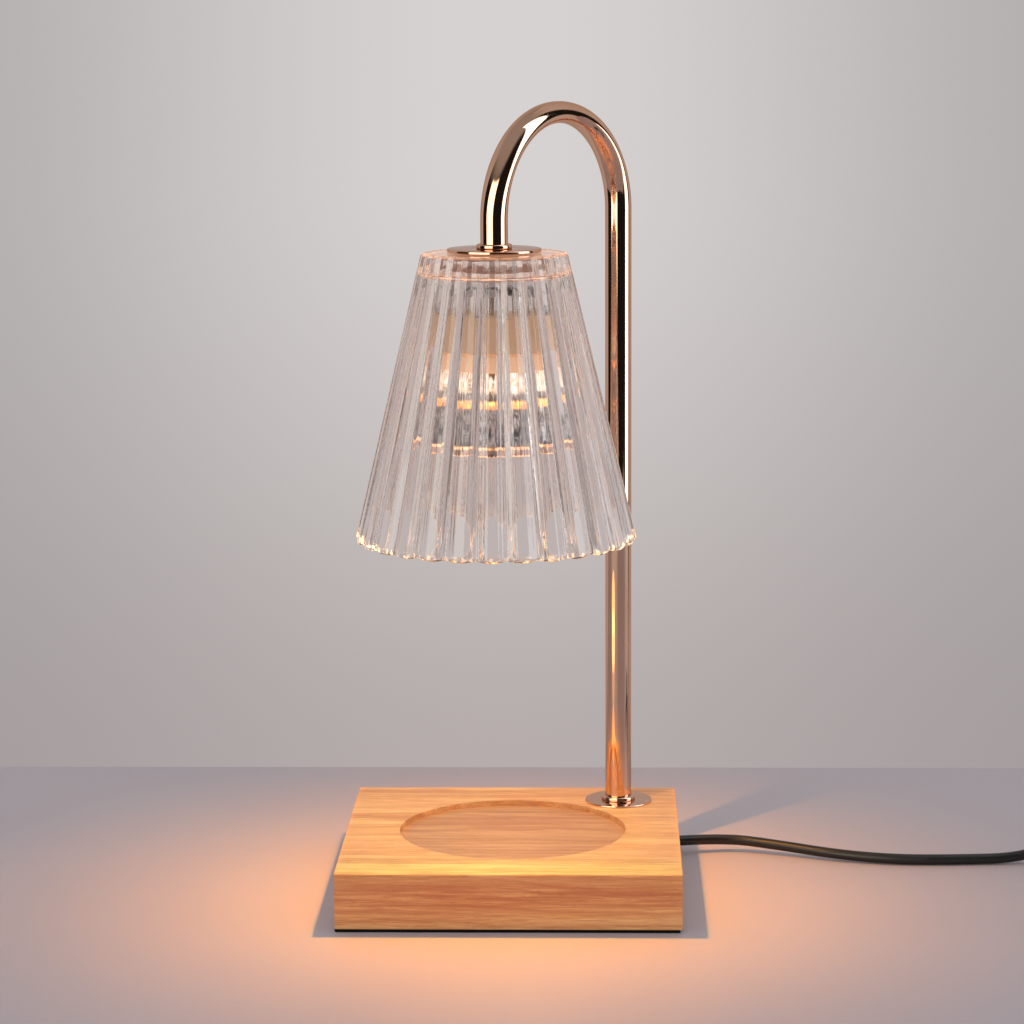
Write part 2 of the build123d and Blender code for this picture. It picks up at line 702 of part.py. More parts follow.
cord_radii = corner_radii(cord_points)
tail_radii = corner_radii(tail_points)
print("cord radii", [round(r, 1) for r in cord_radii])
print("tail radii", [round(r, 1) for r in tail_radii])

with BuildPart() as cord_run:
    with BuildLine() as cord_line:
        FilletPolyline(*cord_points, radius=cord_radii)
    first, last = cord_line.wire() % 0, cord_line.wire() % 1
    with BuildSketch(Plane(cord_line.wire() @ 0, z_dir=first)):
        Circle(cord_r)
    sweep(path=cord_line.wire())
    # square the ends against the sleeves
    with BuildSketch(Plane(cord_line.wire() @ 0, z_dir=first)):
        Circle(cord_r)
    extrude(amount=-1.5)
    with BuildSketch(Plane(cord_line.wire() @ 1, z_dir=last)):
        Circle(cord_r)
    extrude(amount=1.5)
    with BuildSketch(Plane.YZ.offset(base_w / 2)):
        with Locations((cord_y, cord_z)):
            Rectangle(20.0, 20.0)
    extrude(amount=-5.0, mode=Mode.SUBTRACT)
    with BuildSketch(Plane.YZ.offset(dim_x0 - relief_len)):
        with Locations((dim_y, dim_z)):
            Rectangle(20.0, 20.0)
    extrude(amount=5.0, mode=Mode.SUBTRACT)
cord_run.part.label = "cord_run"
export_step(cord_run.part, "parts/cord_run.step")
print(
    "cord run",
    round(cord_line.wire().length, 1),
    "volume over section x length",
    round(cord_run.part.volume / (math.pi * cord_r**2 * cord_line.wire().length), 4),
)

# The length put away as a flat round coil, as one solid of its outer shape.
with BuildPart() as cord_coil:
    with BuildSketch(Plane((coil_x, coil_y, 0.1))):
        Circle(coil_out)
        Circle(coil_in, mode=Mode.SUBTRACT)
    extrude(amount=coil_h)
    fillet(cord_coil.edges(), 2.2)
cord_coil.part.label = "cord_coil"
export_step(cord_coil.part, "parts/cord_coil.step")

with BuildPart() as cord_feed:
    with BuildSketch(Plane.YZ.offset(dim_x1 - 4.0)):
        with Locations((dim_y, dim_z)):
            Circle(cord_r)
    extrude(amount=coil_x - 8.0 - dim_x1 + 4.0)
    add(cord_coil.part, mode=Mode.SUBTRACT)
cord_feed.part.label = "cord_feed"
export_step(cord_feed.part, "parts/cord_feed.step")

with BuildPart() as cord_tail:
    with BuildLine() as tail_line:
        FilletPolyline(*tail_points, radius=tail_radii)
    with BuildSketch(Plane(tail_line.wire() @ 0, z_dir=tail_line.wire() % 0)):
        Circle(cord_r)
    sweep(path=tail_line.wire())
    add(cord_coil.part, mode=Mode.SUBTRACT)
    with BuildSketch(Plane.YZ.offset(plug_x)):
        with Locations((plug_y, plug_z)):
            Rectangle(20.0, 20.0)
    extrude(amount=-5.0, mode=Mode.SUBTRACT)
cord_tail.part.label = "cord_tail"
export_step(cord_tail.part, "parts/cord_tail.step")


# ================================================================ in-line dimmer
# Two shells that meet at the height of the cord, with half a hole for each sleeve.
dim_mid, dim_len = (dim_x0 + dim_x1) / 2, dim_x1 - dim_x0
with BuildPart() as dimmer_bottom:
    with BuildSketch(Plane((dim_mid, dim_y, 0))):
        RectangleRounded(dim_len, dim_w, 8.0)
    extrude(amount=dim_z)
    fillet(dimmer_bottom.faces().sort_by(Axis.Z)[0].edges(), 2.0)
    with BuildSketch(Plane((dim_mid, dim_y, 1.8))):
        RectangleRounded(dim_len - 4.0, dim_w - 4.0, 6.0)
    extrude(amount=dim_z, mode=Mode.SUBTRACT)
    with BuildSketch(Plane.XY.offset(1.8)):
        with Locations((dim_x0 + 9.0, dim_y - 6.0), (dim_x1 - 9.0, dim_y + 6.0)):
            Circle(2.6)
    extrude(amount=2.2)
    with BuildSketch(Plane.YZ.offset(dim_x0 - 1.0)):
        with Locations((dim_y, dim_z)):
            Circle(3.7)
    extrude(amount=dim_len + 2.0, mode=Mode.SUBTRACT)
    with BuildSketch(Plane.XY):
        with Locations((dim_x0 + 9.0, dim_y - 6.0), (dim_x1 - 9.0, dim_y + 6.0)):
            Circle(1.6)
    extrude(amount=4.0, mode=Mode.SUBTRACT)
    with BuildSketch(Plane.XY):
        with Locations((dim_x0 + 9.0, dim_y - 6.0), (dim_x1 - 9.0, dim_y + 6.0)):
            Circle(2.9)
    extrude(amount=1.2, mode=Mode.SUBTRACT)
dimmer_bottom.part.label = "dimmer_bottom"
export_step(dimmer_bottom.part, "parts/dimmer_bottom.step")

dial_x, dial_z = dim_mid, dim_h + 0.4
with BuildPart() as dimmer_top:
    with BuildSketch(Plane((dim_mid, dim_y, dim_z))):
        RectangleRounded(dim_len, dim_w, 8.0)
    extrude(amount=dim_h - dim_z)
    fillet(dimmer_top.faces().sort_by(Axis.Z)[-1].edges(), 3.0)
    with BuildSketch(Plane((dim_mid, dim_y, dim_z))):
        RectangleRounded(dim_len - 4.0, dim_w - 4.0, 6.0)
    extrude(amount=dim_h - dim_z - 2.0, mode=Mode.SUBTRACT)
    with BuildSketch(Plane((dial_x, dim_y, dim_h - 3.0))):
        Circle(3.6)
    extrude(amount=4.0, mode=Mode.SUBTRACT)
    with BuildSketch(Plane.XY.offset(dim_z)):
        with Locations((dim_x0 + 9.0, dim_y - 6.0), (dim_x1 - 9.0, dim_y + 6.0)):
            Circle(2.4)
    extrude(amount=dim_h - dim_z - 2.0)
    with BuildSketch(Plane.XY.offset(dim_z)):
        with Locations((dim_x0 + 9.0, dim_y - 6.0), (dim_x1 - 9.0, dim_y + 6.0)):
            Circle(1.25)
    extrude(amount=7.0, mode=Mode.SUBTRACT)
    with BuildSketch(Plane.YZ.offset(dim_x0 - 1.0)):
        with Locations((dim_y, dim_z)):
            Circle(3.7)
    extrude(amount=5.0, mode=Mode.SUBTRACT)
    with BuildSketch(Plane.YZ.offset(dim_x1 + 1.0)):
        with Locations((dim_y, dim_z)):
            Circle(3.7)
    extrude(amount=-5.0, mode=Mode.SUBTRACT)
dimmer_top.part.label = "dimmer_top"
export_step(dimmer_top.part, "parts/dimmer_top.step")

# Two screws from below that hold the shells together.
with BuildPart() as dimmer_screws:
    for x, y in ((dim_x0 + 9.0, dim_y - 6.0), (dim_x1 - 9.0, dim_y + 6.0)):
        with BuildSketch(Plane((x, y, 0.3))):
            Circle(2.6)
        extrude(amount=0.9)
        with BuildSketch(Plane((x, y, 1.2))):
            Circle(1.2)
        extrude(amount=11.8)
    with BuildSketch(Plane.XY.offset(0.3)):
        with Locations((dim_x0 + 9.0, dim_y - 6.0), (dim_x1 - 9.0, dim_y + 6.0)):
            Rectangle(3.0, 0.6)
            Rectangle(0.6, 3.0)
    extrude(amount=0.5, mode=Mode.SUBTRACT)
dimmer_screws.part.label = "dimmer_screws"
export_step(dimmer_screws.part, "parts/dimmer_screws.step")

# Tapered sleeves on both sides of the dimmer, with a head inside the shells.
with BuildPart() as dimmer_inlet_sleeve:
    with BuildSketch(Plane.XZ.offset(-dim_y)):
        with BuildLine():
            Polyline(
                (dim_x0 - relief_len, dim_z + sleeve_bore_r),
                (dim_x0 - relief_len, dim_z + 3.1),
                (dim_x0 - 0.3, dim_z + 4.6),
                (dim_x0 - 0.3, dim_z + 3.6),
                (dim_x0 + 2.2, dim_z + 3.6),
                (dim_x0 + 2.2, dim_z + 4.4),
                (dim_x0 + 4.0, dim_z + 4.4),
                (dim_x0 + 4.0, dim_z + sleeve_bore_r),
                close=True,
            )
        make_face()
    revolve(axis=Axis((0, dim_y, dim_z), (1, 0, 0)))
dimmer_inlet_sleeve.part.label = "dimmer_inlet_sleeve"
export_step(dimmer_inlet_sleeve.part, "parts/dimmer_inlet_sleeve.step")

with BuildPart() as dimmer_outlet_sleeve:
    with BuildSketch(Plane.XZ.offset(-dim_y)):
        with BuildLine():
            Polyline(
                (dim_x1 + relief_len, dim_z + sleeve_bore_r),
                (dim_x1 + relief_len, dim_z + 3.1),
                (dim_x1 + 0.3, dim_z + 4.6),
                (dim_x1 + 0.3, dim_z + 3.6),
                (dim_x1 - 2.2, dim_z + 3.6),
                (dim_x1 - 2.2, dim_z + 4.4),
                (dim_x1 - 4.0, dim_z + 4.4),
                (dim_x1 - 4.0, dim_z + sleeve_bore_r),
                close=True,
            )
        make_face()
    revolve(axis=Axis((0, dim_y, dim_z), (1, 0, 0)))
dimmer_outlet_sleeve.part.label = "dimmer_outlet_sleeve"
export_step(dimmer_outlet_sleeve.part, "parts/dimmer_outlet_sleeve.step")

# Circuit board with the potentiometer, triac, capacitor and choke.
with BuildPart() as dimmer_board:
    with BuildSketch(Plane((dim_mid, dim_y, 4.2))):
        Rectangle(44.0, 19.0)
        with Locations((dim_x0 + 9.0 - dim_mid, -6.0), (dim_x1 - 9.0 - dim_mid, 6.0)):
            Circle(2.8, mode=Mode.SUBTRACT)
    extrude(amount=1.4)
dimmer_board.part.label = "dimmer_board"
export_step(dimmer_board.part, "parts/dimmer_board.step")

with BuildPart() as dimmer_pot:
    with BuildSketch(Plane((dial_x, dim_y, 5.6))):
        RectangleRounded(11.0, 11.0, 1.0)
    extrude(amount=5.4)
    with BuildSketch(Plane((dial_x, dim_y, 7.0))):
        Circle(2.55)
    extrude(amount=4.0, mode=Mode.SUBTRACT)
dimmer_pot.part.label = "dimmer_pot"
export_step(dimmer_pot.part, "parts/dimmer_pot.step")

with BuildPart() as dimmer_shaft:
    with BuildSketch(Plane((dial_x, dim_y, 7.2))):
        Circle(2.5)
    extrude(amount=dial_z + 3.0 - 7.2)
dimmer_shaft.part.label = "dimmer_shaft"
export_step(dimmer_shaft.part, "parts/dimmer_shaft.step")

with BuildPart() as dimmer_triac:
    with BuildSketch(Plane((dim_x1 - 14.5, dim_y - 4.6, 5.6))):
        Rectangle(9.0, 4.2)
    extrude(amount=7.0)
dimmer_triac.part.label = "dimmer_triac"
export_step(dimmer_triac.part, "parts/dimmer_triac.step")

with BuildPart() as dimmer_capacitor:
    with BuildSketch(Plane((dim_x0 + 14.0, dim_y + 4.6, 5.6))):
        RectangleRounded(9.0, 4.6, 0.6)
    extrude(amount=7.0)
dimmer_capacitor.part.label = "dimmer_capacitor"
export_step(dimmer_capacitor.part, "parts/dimmer_capacitor.step")

with BuildPart() as dimmer_choke:
    with BuildSketch(Plane.XZ.offset(-(dim_y - 2.2))):
        with Locations((dim_x0 + 16.5, 9.7)):
            Circle(4.0)
            Circle(1.6, mode=Mode.SUBTRACT)
    extrude(amount=4.2)
    fillet(dimmer_choke.edges(), 0.8)
dimmer_choke.part.label = "dimmer_choke"
export_step(dimmer_choke.part, "parts/dimmer_choke.step")

# Short cores between the cord and the board, two at each end.
with BuildPart() as dimmer_cores:
    for x, way in ((dim_x0 + 4.0, 1), (dim_x1 - 4.0, -1)):
        for side in (-1, 1):
            with BuildLine() as short_line:
                Line(
                    (x, dim_y + side * 1.1, dim_z),
                    (x + way * 5.0, dim_y + side * 1.5, 6.35),
                )
            with BuildSketch(Plane(short_line.wire() @ 0, z_dir=short_line.wire() % 0)):
                Circle(0.7)
            sweep(path=short_line.wire())
    add(cord_ends.part, mode=Mode.SUBTRACT)
    add(cord_feed.part, mode=Mode.SUBTRACT)
dimmer_cores.part.label = "dimmer_cores"
export_step(dimmer_cores.part, "parts/dimmer_cores.step")

# Knob on top of the dimmer: grooved edge and one raised pointer.
with BuildPart() as dimmer_dial:
    with BuildSketch(Plane((dial_x, dim_y, dial_z))):
        Circle(11.0)
    extrude(amount=4.6)
    chamfer(dimmer_dial.faces().sort_by(Axis.Z)[-1].edges(), 0.9)
    with BuildSketch(Plane((dial_x, dim_y, dial_z))):
        with PolarLocations(11.35, 30):
            Circle(0.75)
    extrude(amount=4.6, mode=Mode.SUBTRACT)
    with BuildSketch(Plane((dial_x, dim_y, dial_z))):
        Circle(2.5)
    extrude(amount=3.0, mode=Mode.SUBTRACT)
    with BuildSketch(Plane((dial_x, dim_y, dial_z + 4.6))):
        with Locations((0, 6.6)):
            Rectangle(1.2, 5.0)
    extrude(amount=0.4)
dimmer_dial.part.label = "dimmer_dial"
export_step(dimmer_dial.part, "parts/dimmer_dial.step")


# ================================================================ plug
# Tapered sleeve, moulded body and two flat blades, lying on the table.
body_x = plug_x - plug_relief_len
with BuildPart() as plug_sleeve:
    with BuildSketch(Plane.XZ.offset(-plug_y)):
        with BuildLine():
            Polyline(
                (plug_x, plug_z + sleeve_bore_r),
                (plug_x, plug_z + 3.1),
                (body_x, plug_z + 4.8),
                (body_x, plug_z + sleeve_bore_r),
                close=True,
            )
        make_face()
    revolve(axis=Axis((0, plug_y, plug_z), (1, 0, 0)))
plug_sleeve.part.label = "plug_sleeve"
export_step(plug_sleeve.part, "parts/plug_sleeve.step")

with BuildPart() as plug_blades:
    with BuildSketch(Plane.YZ.offset(body_x - 20.0)):
        with Locations((plug_y - 6.35, plug_z), (plug_y + 6.35, plug_z)):
            Rectangle(1.5, 6.35)
    extrude(amount=-22.5)
    with BuildSketch(Plane.XZ.offset(-(plug_y + 12.0))):
        with Locations((body_x - 26.0 - 12.9, plug_z)):
            Circle(1.6)
    extrude(amount=24.0, mode=Mode.SUBTRACT)
    chamfer(plug_blades.faces().filter_by(Axis.X).group_by(Axis.X)[0].edges(), 0.45)
plug_blades.part.label = "plug_blades"
export_step(plug_blades.part, "parts/plug_blades.step")

with BuildPart() as plug_body:
    with BuildSketch(Plane.YZ.offset(body_x)):
        with Locations((plug_y, plug_z)):
            RectangleRounded(15.0, 13.0, 4.0)
    with BuildSketch(Plane.YZ.offset(body_x - 10.0)):
        with Locations((plug_y, plug_z)):
            RectangleRounded(22.0, 14.6, 4.0)
    loft(ruled=True)
    with BuildSketch(Plane.YZ.offset(body_x - 10.0)):
        with Locations((plug_y, plug_z)):
            RectangleRounded(22.0, 14.6, 4.0)
    extrude(amount=-16.0)
    fillet(plug_body.faces().sort_by(Axis.X)[0].edges(), 1.2)
    with BuildSketch(Plane.YZ.offset(body_x - 4.0)):
        with Locations((plug_y, plug_z)):
            Circle(sleeve_bore_r)
    extrude(amount=6.0, mode=Mode.SUBTRACT)
    add(plug_blades.part, mode=Mode.SUBTRACT)
plug_body.part.label = "plug_body"
export_step(plug_body.part, "parts/plug_body.step")

print("cord, base to dimmer", round(cord_line.wire().length))
print("turns of the coil", round(coil_turns * math.pi * (coil_r + coil_r_in)))
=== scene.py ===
import json
import math

import bmesh
import bpy
import numpy as np
from mathutils import Matrix, Vector

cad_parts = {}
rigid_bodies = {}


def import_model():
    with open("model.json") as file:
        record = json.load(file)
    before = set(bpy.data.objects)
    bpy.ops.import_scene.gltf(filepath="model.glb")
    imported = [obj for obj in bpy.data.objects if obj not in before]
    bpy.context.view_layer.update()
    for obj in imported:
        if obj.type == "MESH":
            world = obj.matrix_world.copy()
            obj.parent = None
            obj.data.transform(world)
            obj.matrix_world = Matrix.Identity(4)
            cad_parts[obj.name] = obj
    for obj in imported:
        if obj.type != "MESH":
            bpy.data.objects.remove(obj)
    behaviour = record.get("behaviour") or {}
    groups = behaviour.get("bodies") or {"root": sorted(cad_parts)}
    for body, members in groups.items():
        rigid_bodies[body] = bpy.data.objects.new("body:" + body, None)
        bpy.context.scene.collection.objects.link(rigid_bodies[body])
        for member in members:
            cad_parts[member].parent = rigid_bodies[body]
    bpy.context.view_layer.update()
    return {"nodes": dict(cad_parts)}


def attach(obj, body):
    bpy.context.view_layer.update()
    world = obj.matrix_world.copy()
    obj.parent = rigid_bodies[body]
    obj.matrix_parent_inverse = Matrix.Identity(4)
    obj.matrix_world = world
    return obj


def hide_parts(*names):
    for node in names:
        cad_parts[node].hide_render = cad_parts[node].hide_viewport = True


for o in list(bpy.data.objects):
    bpy.data.objects.remove(o)
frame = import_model()
scene = bpy.context.scene

# ---------------------------------------------------------------- camera

camera_data = bpy.data.cameras.new("camera")
camera_data.lens = 110.03
camera_data.sensor_width = 36.0
camera_data.clip_start = 0.05
camera_data.clip_end = 60.0
camera = bpy.data.objects.new("camera", camera_data)
scene.collection.objects.link(camera)
right = Vector((0.99960099, 0.02771135, -0.00547231))
up = Vector((0.000909307, 0.162064233, 0.986779792))
ahead = Vector((-0.02823187, 0.98639103, -0.16197437))
place = Vector((0.039753, -1.372903, 0.396545))
camera.matrix_world = Matrix(
    [
        [right.x, up.x, -ahead.x, place.x],
        [right.y, up.y, -ahead.y, place.y],
        [right.z, up.z, -ahead.z, place.z],
        [0, 0, 0, 1],
    ]
)
scene.camera = camera

# ---------------------------------------------------------------- cords

cord_d = 0.0048
run_points = [
    (75, 51, 6.5), (98, 58.2, 6.1), (123, 50.6, 4.7), (149, 40.2, 3.2), (176, 34, 2.5),
    (205, 34.2, 2.55), (231, 36.6, 2.6), (245, 37.2, 6.9), (258, 37.3, 7.5),
]
coil_x, coil_y = 384.0, -0.3
coil_out, coil_in, coil_layer = 37.6, 18.4, 4.0
low_z, high_z = 2.5, 7.4


def coil_points():
    """The coil's turns: in on the upper layer, half a turn down, out on the lower one."""
    points = []
    steps = 16
    total = coil_layer + 0.5 + coil_layer
    count = int(round(total * steps))
    for i in range(count + 1):
        turn = i / steps
        angle = math.radians(90 - 360 * turn)
        if turn <= coil_layer:
            r, z = coil_out + (coil_in - coil_out) * turn / coil_layer, high_z
        elif turn <= coil_layer + 0.5:
            u = (turn - coil_layer) / 0.5
            r, z = coil_in, high_z + (low_z - high_z) * u * u * (3 - 2 * u)
        else:
            u = (turn - coil_layer - 0.5) / coil_layer
            r, z = coil_in + (coil_out - coil_in) * u, low_z
        r /= 0.981
        points.append((coil_x + r * math.cos(angle), coil_y + r * math.sin(angle), z))
    return points


lead_points = (
    [(356, 37.3, 7.5), (370, 37.3, 7.5)]
    + coil_points()
    + [(378, -37.9, 2.5), (366, -37.7, 2.7), (354.5, -37.9, 7.1), (343, -37.9, 7.5)]
)


def cord_curve(name, points):
    curve = bpy.data.curves.new(name, "CURVE")
    curve.dimensions = "3D"
    spline = curve.splines.new("NURBS")
    spline.points.add(len(points) - 1)
    for p, (x, y, z) in zip(spline.points, points):
        p.co = (x / 1000, y / 1000, z / 1000, 1)
        p.radius = 0.001  # a point's radius pads the curve's box, so the bevel depth is in mm
    spline.order_u = 3
    spline.use_endpoint_u = True
    spline.resolution_u = 8
    curve.bevel_depth = cord_d / 2 * 1000
    curve.bevel_resolution = 6
    curve.use_fill_caps = True
    o = bpy.data.objects.new(name, curve)
    scene.collection.objects.link(o)
    return o


cord_to_dimmer = cord_curve("cord_to_dimmer", run_points)
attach(cord_to_dimmer, "lamp")
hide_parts("cord_run")
cord_to_plug = cord_curve("cord_to_plug", lead_points)
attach(cord_to_plug, "lamp")
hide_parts("cord_feed", "cord_coil", "cord_tail")

# ---------------------------------------------------------------- helpers


class Finish:
    """A procedural material, built node by node round one Principled shader."""

    def __init__(self, name, **values):
        self.material = bpy.data.materials.new(name)
        self.material.use_nodes = True
        self.tree = self.material.node_tree
        self.tree.nodes.clear()
        self.out = self.tree.nodes.new("ShaderNodeOutputMaterial")
        self.shader = self.tree.nodes.new("ShaderNodeBsdfPrincipled")
        self.link(self.shader.outputs[0], self.out.inputs[0])
        for key, value in values.items():
            self.shader.inputs[key.replace("_", " ")].default_value = value
        self.place = self.node("ShaderNodeTexCoord").outputs["Object"]

    def node(self, kind, props=None, **values):
        n = self.tree.nodes.new(kind)
        for key, value in (props or {}).items():
            setattr(n, key, value)
        for key, value in values.items():
            n.inputs[key.replace("_", " ")].default_value = value
        return n

    def link(self, a, b):
        self.tree.links.new(a, b)
        return b

    def mapped(self, scale=(1, 1, 1), rotation=(0, 0, 0), location=(0, 0, 0), source=None):
        n = self.node("ShaderNodeMapping")
        n.inputs["Scale"].default_value = scale
        n.inputs["Rotation"].default_value = rotation
        n.inputs["Location"].default_value = location
        self.link(source or self.place, n.inputs["Vector"])
        return n.outputs[0]

    def noise(self, scale, detail=4.0, rough=0.55, distortion=0.0, vector=None):
        n = self.node("ShaderNodeTexNoise", Scale=scale, Detail=detail, Roughness=rough, Distortion=distortion)
        self.link(vector or self.place, n.inputs["Vector"])
        return n.outputs["Fac"]

    def ramp(self, value, *stops, kind="LINEAR"):
        n = self.node("ShaderNodeValToRGB")
        n.color_ramp.interpolation = kind
        while len(n.color_ramp.elements) < len(stops):
            n.color_ramp.elements.new(0.5)
        for e, (at, colour) in zip(n.color_ramp.elements, stops):
            e.position = at
            e.color = (*colour, 1) if hasattr(colour, "__len__") else (colour, colour, colour, 1)
        self.link(value, n.inputs["Fac"])
        return n.outputs["Color"]

    def math(self, kind, a, b=None, c=None):
        n = self.node("ShaderNodeMath", {"operation": kind})
        for i, x in enumerate((a, b, c)):
            if x is None:
                continue
            if isinstance(x, (int, float)):
                n.inputs[i].default_value = x
            else:
                self.link(x, n.inputs[i])
        return n.outputs[0]

    def span(self, value, a, b, c, d):
        n = self.node("ShaderNodeMapRange")
        for i, x in enumerate((a, b, c, d)):
            n.inputs[i + 1].default_value = x
        self.link(value, n.inputs["Value"])
        return n.outputs["Result"]

    def mix(self, fac, a, b, kind="MIX"):
        n = self.node("ShaderNodeMix", {"data_type": "RGBA", "blend_type": kind})
        for socket, x in ((n.inputs[0], fac), (n.inputs[6], a), (n.inputs[7], b)):
            if isinstance(x, (int, float)):
                socket.default_value = x
            elif isinstance(x, tuple):
                socket.default_value = (*x, 1)
            else:
                self.link(x, socket)
        return n.outputs[2]

    def bump(self, height, strength, distance):
        n = self.node("ShaderNodeBump", Strength=strength, Distance=distance)
        self.link(height, n.inputs["Height"])
        if self.shader.inputs["Normal"].is_linked:
            self.link(self.shader.inputs["Normal"].links[0].from_socket, n.inputs["Normal"])
        self.link(n.outputs[0], self.shader.inputs["Normal"])
        return n

    def colour(self, value):
        self.link(value, self.shader.inputs["Base Color"])

    def rough(self, value):
        self.link(value, self.shader.inputs["Roughness"])


def varied(name, dark, light, rough=(0.35, 0.5), scale=60.0, grain=900.0, bump=0.15, depth=0.0001, stretch=(1, 1, 1), **values):
    """A finish whose colour and gloss drift a little, with a fine grain in its surface."""
    f = Finish(name, **values)
    place = f.mapped(scale=stretch)
    drift = f.noise(scale, 5.0, 0.6, vector=place)
    fine = f.noise(grain, 3.0, 0.6, vector=place)
    f.colour(f.ramp(f.math("ADD", f.math("MULTIPLY", drift, 0.75), f.math("MULTIPLY", fine, 0.25)), (0.3, dark), (0.7, light)))
    f.rough(f.span(drift, 0.3, 0.7, rough[0], rough[1]))
    f.bump(fine, bump, depth)
    return f.material


def wear(f, scale, amount):
    """Fine scratches, as bump."""
    a = f.noise(scale, 2.0, 0.5, vector=f.mapped(scale=(1, 1, 0.04)))
    b = f.noise(scale, 2.0, 0.5, vector=f.mapped(scale=(0.06, 1, 1), rotation=(0.3, 0.5, 0.2)))
    f.bump(f.math("ADD", a, b), amount, 0.00002)


def mesh_object(name, verts, faces, material, sharp=38, body="lamp", nodes=()):
    me = bpy.data.meshes.new(name)
    me.from_pydata([tuple(v) for v in verts], [], faces)
    me.update()
    bm = bmesh.new()
    bm.from_mesh(me)
    bmesh.ops.recalc_face_normals(bm, faces=bm.faces)
    bm.to_mesh(me)
    bm.free()
    me.shade_smooth()
    me.set_sharp_from_angle(angle=math.radians(sharp))
    o = bpy.data.objects.new(name, me)
    scene.collection.objects.link(o)
    me.materials.append(material)
    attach(o, body)
    if nodes:
        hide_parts(*nodes)
    return o


def grid(rings, wrap_u, wrap_v, start=0):
    """Quads over rings[u][v]; returns (points, faces)."""
    nu, nv = len(rings), len(rings[0])
    points = [tuple(p) for ring in rings for p in ring]
    faces = []
    for u in range(nu if wrap_u else nu - 1):
        for v in range(nv if wrap_v else nv - 1):
            a, b = u * nv + v, ((u + 1) % nu) * nv + v
            c, d = ((u + 1) % nu) * nv + (v + 1) % nv, u * nv + (v + 1) % nv
            faces.append((start + a, start + b, start + c, start + d))
    return points, faces


def lathe(profile, centre, segments=160, closed=True, bump=None):
    """A profile of (r, z) in mm turned round the vertical at centre. Open profiles may end on the axis."""
    cx, cy = centre
    rings = []
    for i in range(segments):
        a = 2 * math.pi * i / segments
        rings.append([((cx + r * math.cos(a)) / 1000, (cy + r * math.sin(a)) / 1000, z / 1000) for r, z in profile])
    points, faces = grid(rings, True, closed)
    if not closed:
        # fold the points on the axis into one
        nv = len(profile)
        for end in (0, nv - 1):
            if profile[end][0] == 0:
                faces = [tuple(end if x % nv == end else x for x in f) for f in faces]
        clean = []
        for f in faces:
            g = []
            for x in f:
                if x not in g:
                    g.append(x)
            if len(g) > 2:
                clean.append(tuple(g))
        used = sorted({x for f in clean for x in f})
        index = {x: i for i, x in enumerate(used)}
        points = [points[x] for x in used]
        faces = [tuple(index[x] for x in f) for f in clean]
    return points, faces


def rounded(corners, steps=6):
    """A closed or open (r, z) profile whose corners (r, z, fillet) are rounded off."""
    n = len(corners)
    result = []
    for i, (x, y, r) in enumerate(corners):
        if r == 0:
            result.append((x, y))
            continue
        p = Vector((x, y))
        a = Vector(corners[i - 1][:2]) - p
        b = Vector(corners[(i + 1) % n][:2]) - p
        angle = a.angle(b)
        cut = r / math.tan(angle / 2)
        a.normalize(), b.normalize()
        middle = p + (a + b).normalized() * (r / math.sin(angle / 2))
        s, e = p + a * cut - middle, p + b * cut - middle
        turn = math.pi - angle
        sign = 1 if s.x * e.y - s.y * e.x > 0 else -1
        for k in range(steps + 1):
            t = sign * turn * k / steps
            q = Vector((s.x * math.cos(t) - s.y * math.sin(t), s.x * math.sin(t) + s.y * math.cos(t)))
            result.append((middle.x + q.x, middle.y + q.y))
    return result


def filled(points, longest):
    """The same closed profile with its long runs divided, so that a bent or scalloped surface stays smooth."""
    result = []
    for i, p in enumerate(points):
        q = points[(i + 1) % len(points)]
        n = max(1, math.ceil(math.dist(p, q) / longest))
        for k in range(n):
            t = k / n
            result.append((p[0] + (q[0] - p[0]) * t, p[1] + (q[1] - p[1]) * t))
    return result


pole = (48.0, 51.0)
shade = (-6.0, -21.0)

# ---------------------------------------------------------------- finishes

# rose gold plating: clear mirror with a faint haze and rubbed streaks
f = Finish("rose_gold", Base_Color=(0.78, 0.49, 0.36, 1), Metallic=1.0, Roughness=0.06, Specular_Tint=(0.80, 0.64, 0.54, 1))
drift = f.noise(45.0, 4.0, 0.6)
f.colour(f.ramp(drift, (0.3, (0.75, 0.465, 0.325)), (0.7, (0.81, 0.52, 0.375))))
f.rough(f.span(f.noise(160.0, 4.0, 0.65), 0.35, 0.7, 0.035, 0.085))
wear(f, 4000.0, 0.02)
rose_gold = f.material

# the disc on the glass is the same, with an unpolished underside, which shows through the glass
f = Finish("rose_gold_disc", Base_Color=(0.78, 0.49, 0.36, 1), Metallic=1.0, Roughness=0.06, Specular_Tint=(0.80, 0.64, 0.54, 1))
height_of = f.node("ShaderNodeSeparateXYZ")
f.link(f.place, height_of.inputs[0])
under = f.span(height_of.outputs[2], 0.28872, 0.28890, 1.0, 0.0)
f.colour(f.mix(under, f.ramp(f.noise(45.0, 4.0, 0.6), (0.3, (0.75, 0.465, 0.325)), (0.7, (0.81, 0.52, 0.375))), (0.52, 0.33, 0.26)))
f.rough(f.math("ADD", f.span(f.noise(160.0, 4.0, 0.65), 0.35, 0.7, 0.035, 0.085), f.math("MULTIPLY", under, 0.50)))
rose_disc = f.material

# the small rings and the disc at the foot are less polished
f = Finish("rose_gold_satin", Base_Color=(0.80, 0.53, 0.41, 1), Metallic=1.0, Roughness=0.16, Specular_Tint=(0.84, 0.70, 0.62, 1))
f.colour(f.ramp(f.noise(60.0, 4.0, 0.6), (0.3, (0.77, 0.50, 0.38)), (0.7, (0.83, 0.56, 0.44))))
f.rough(f.span(f.noise(220.0, 4.0, 0.65), 0.35, 0.7, 0.11, 0.20))
wear(f, 4000.0, 0.03)
rose_satin = f.material

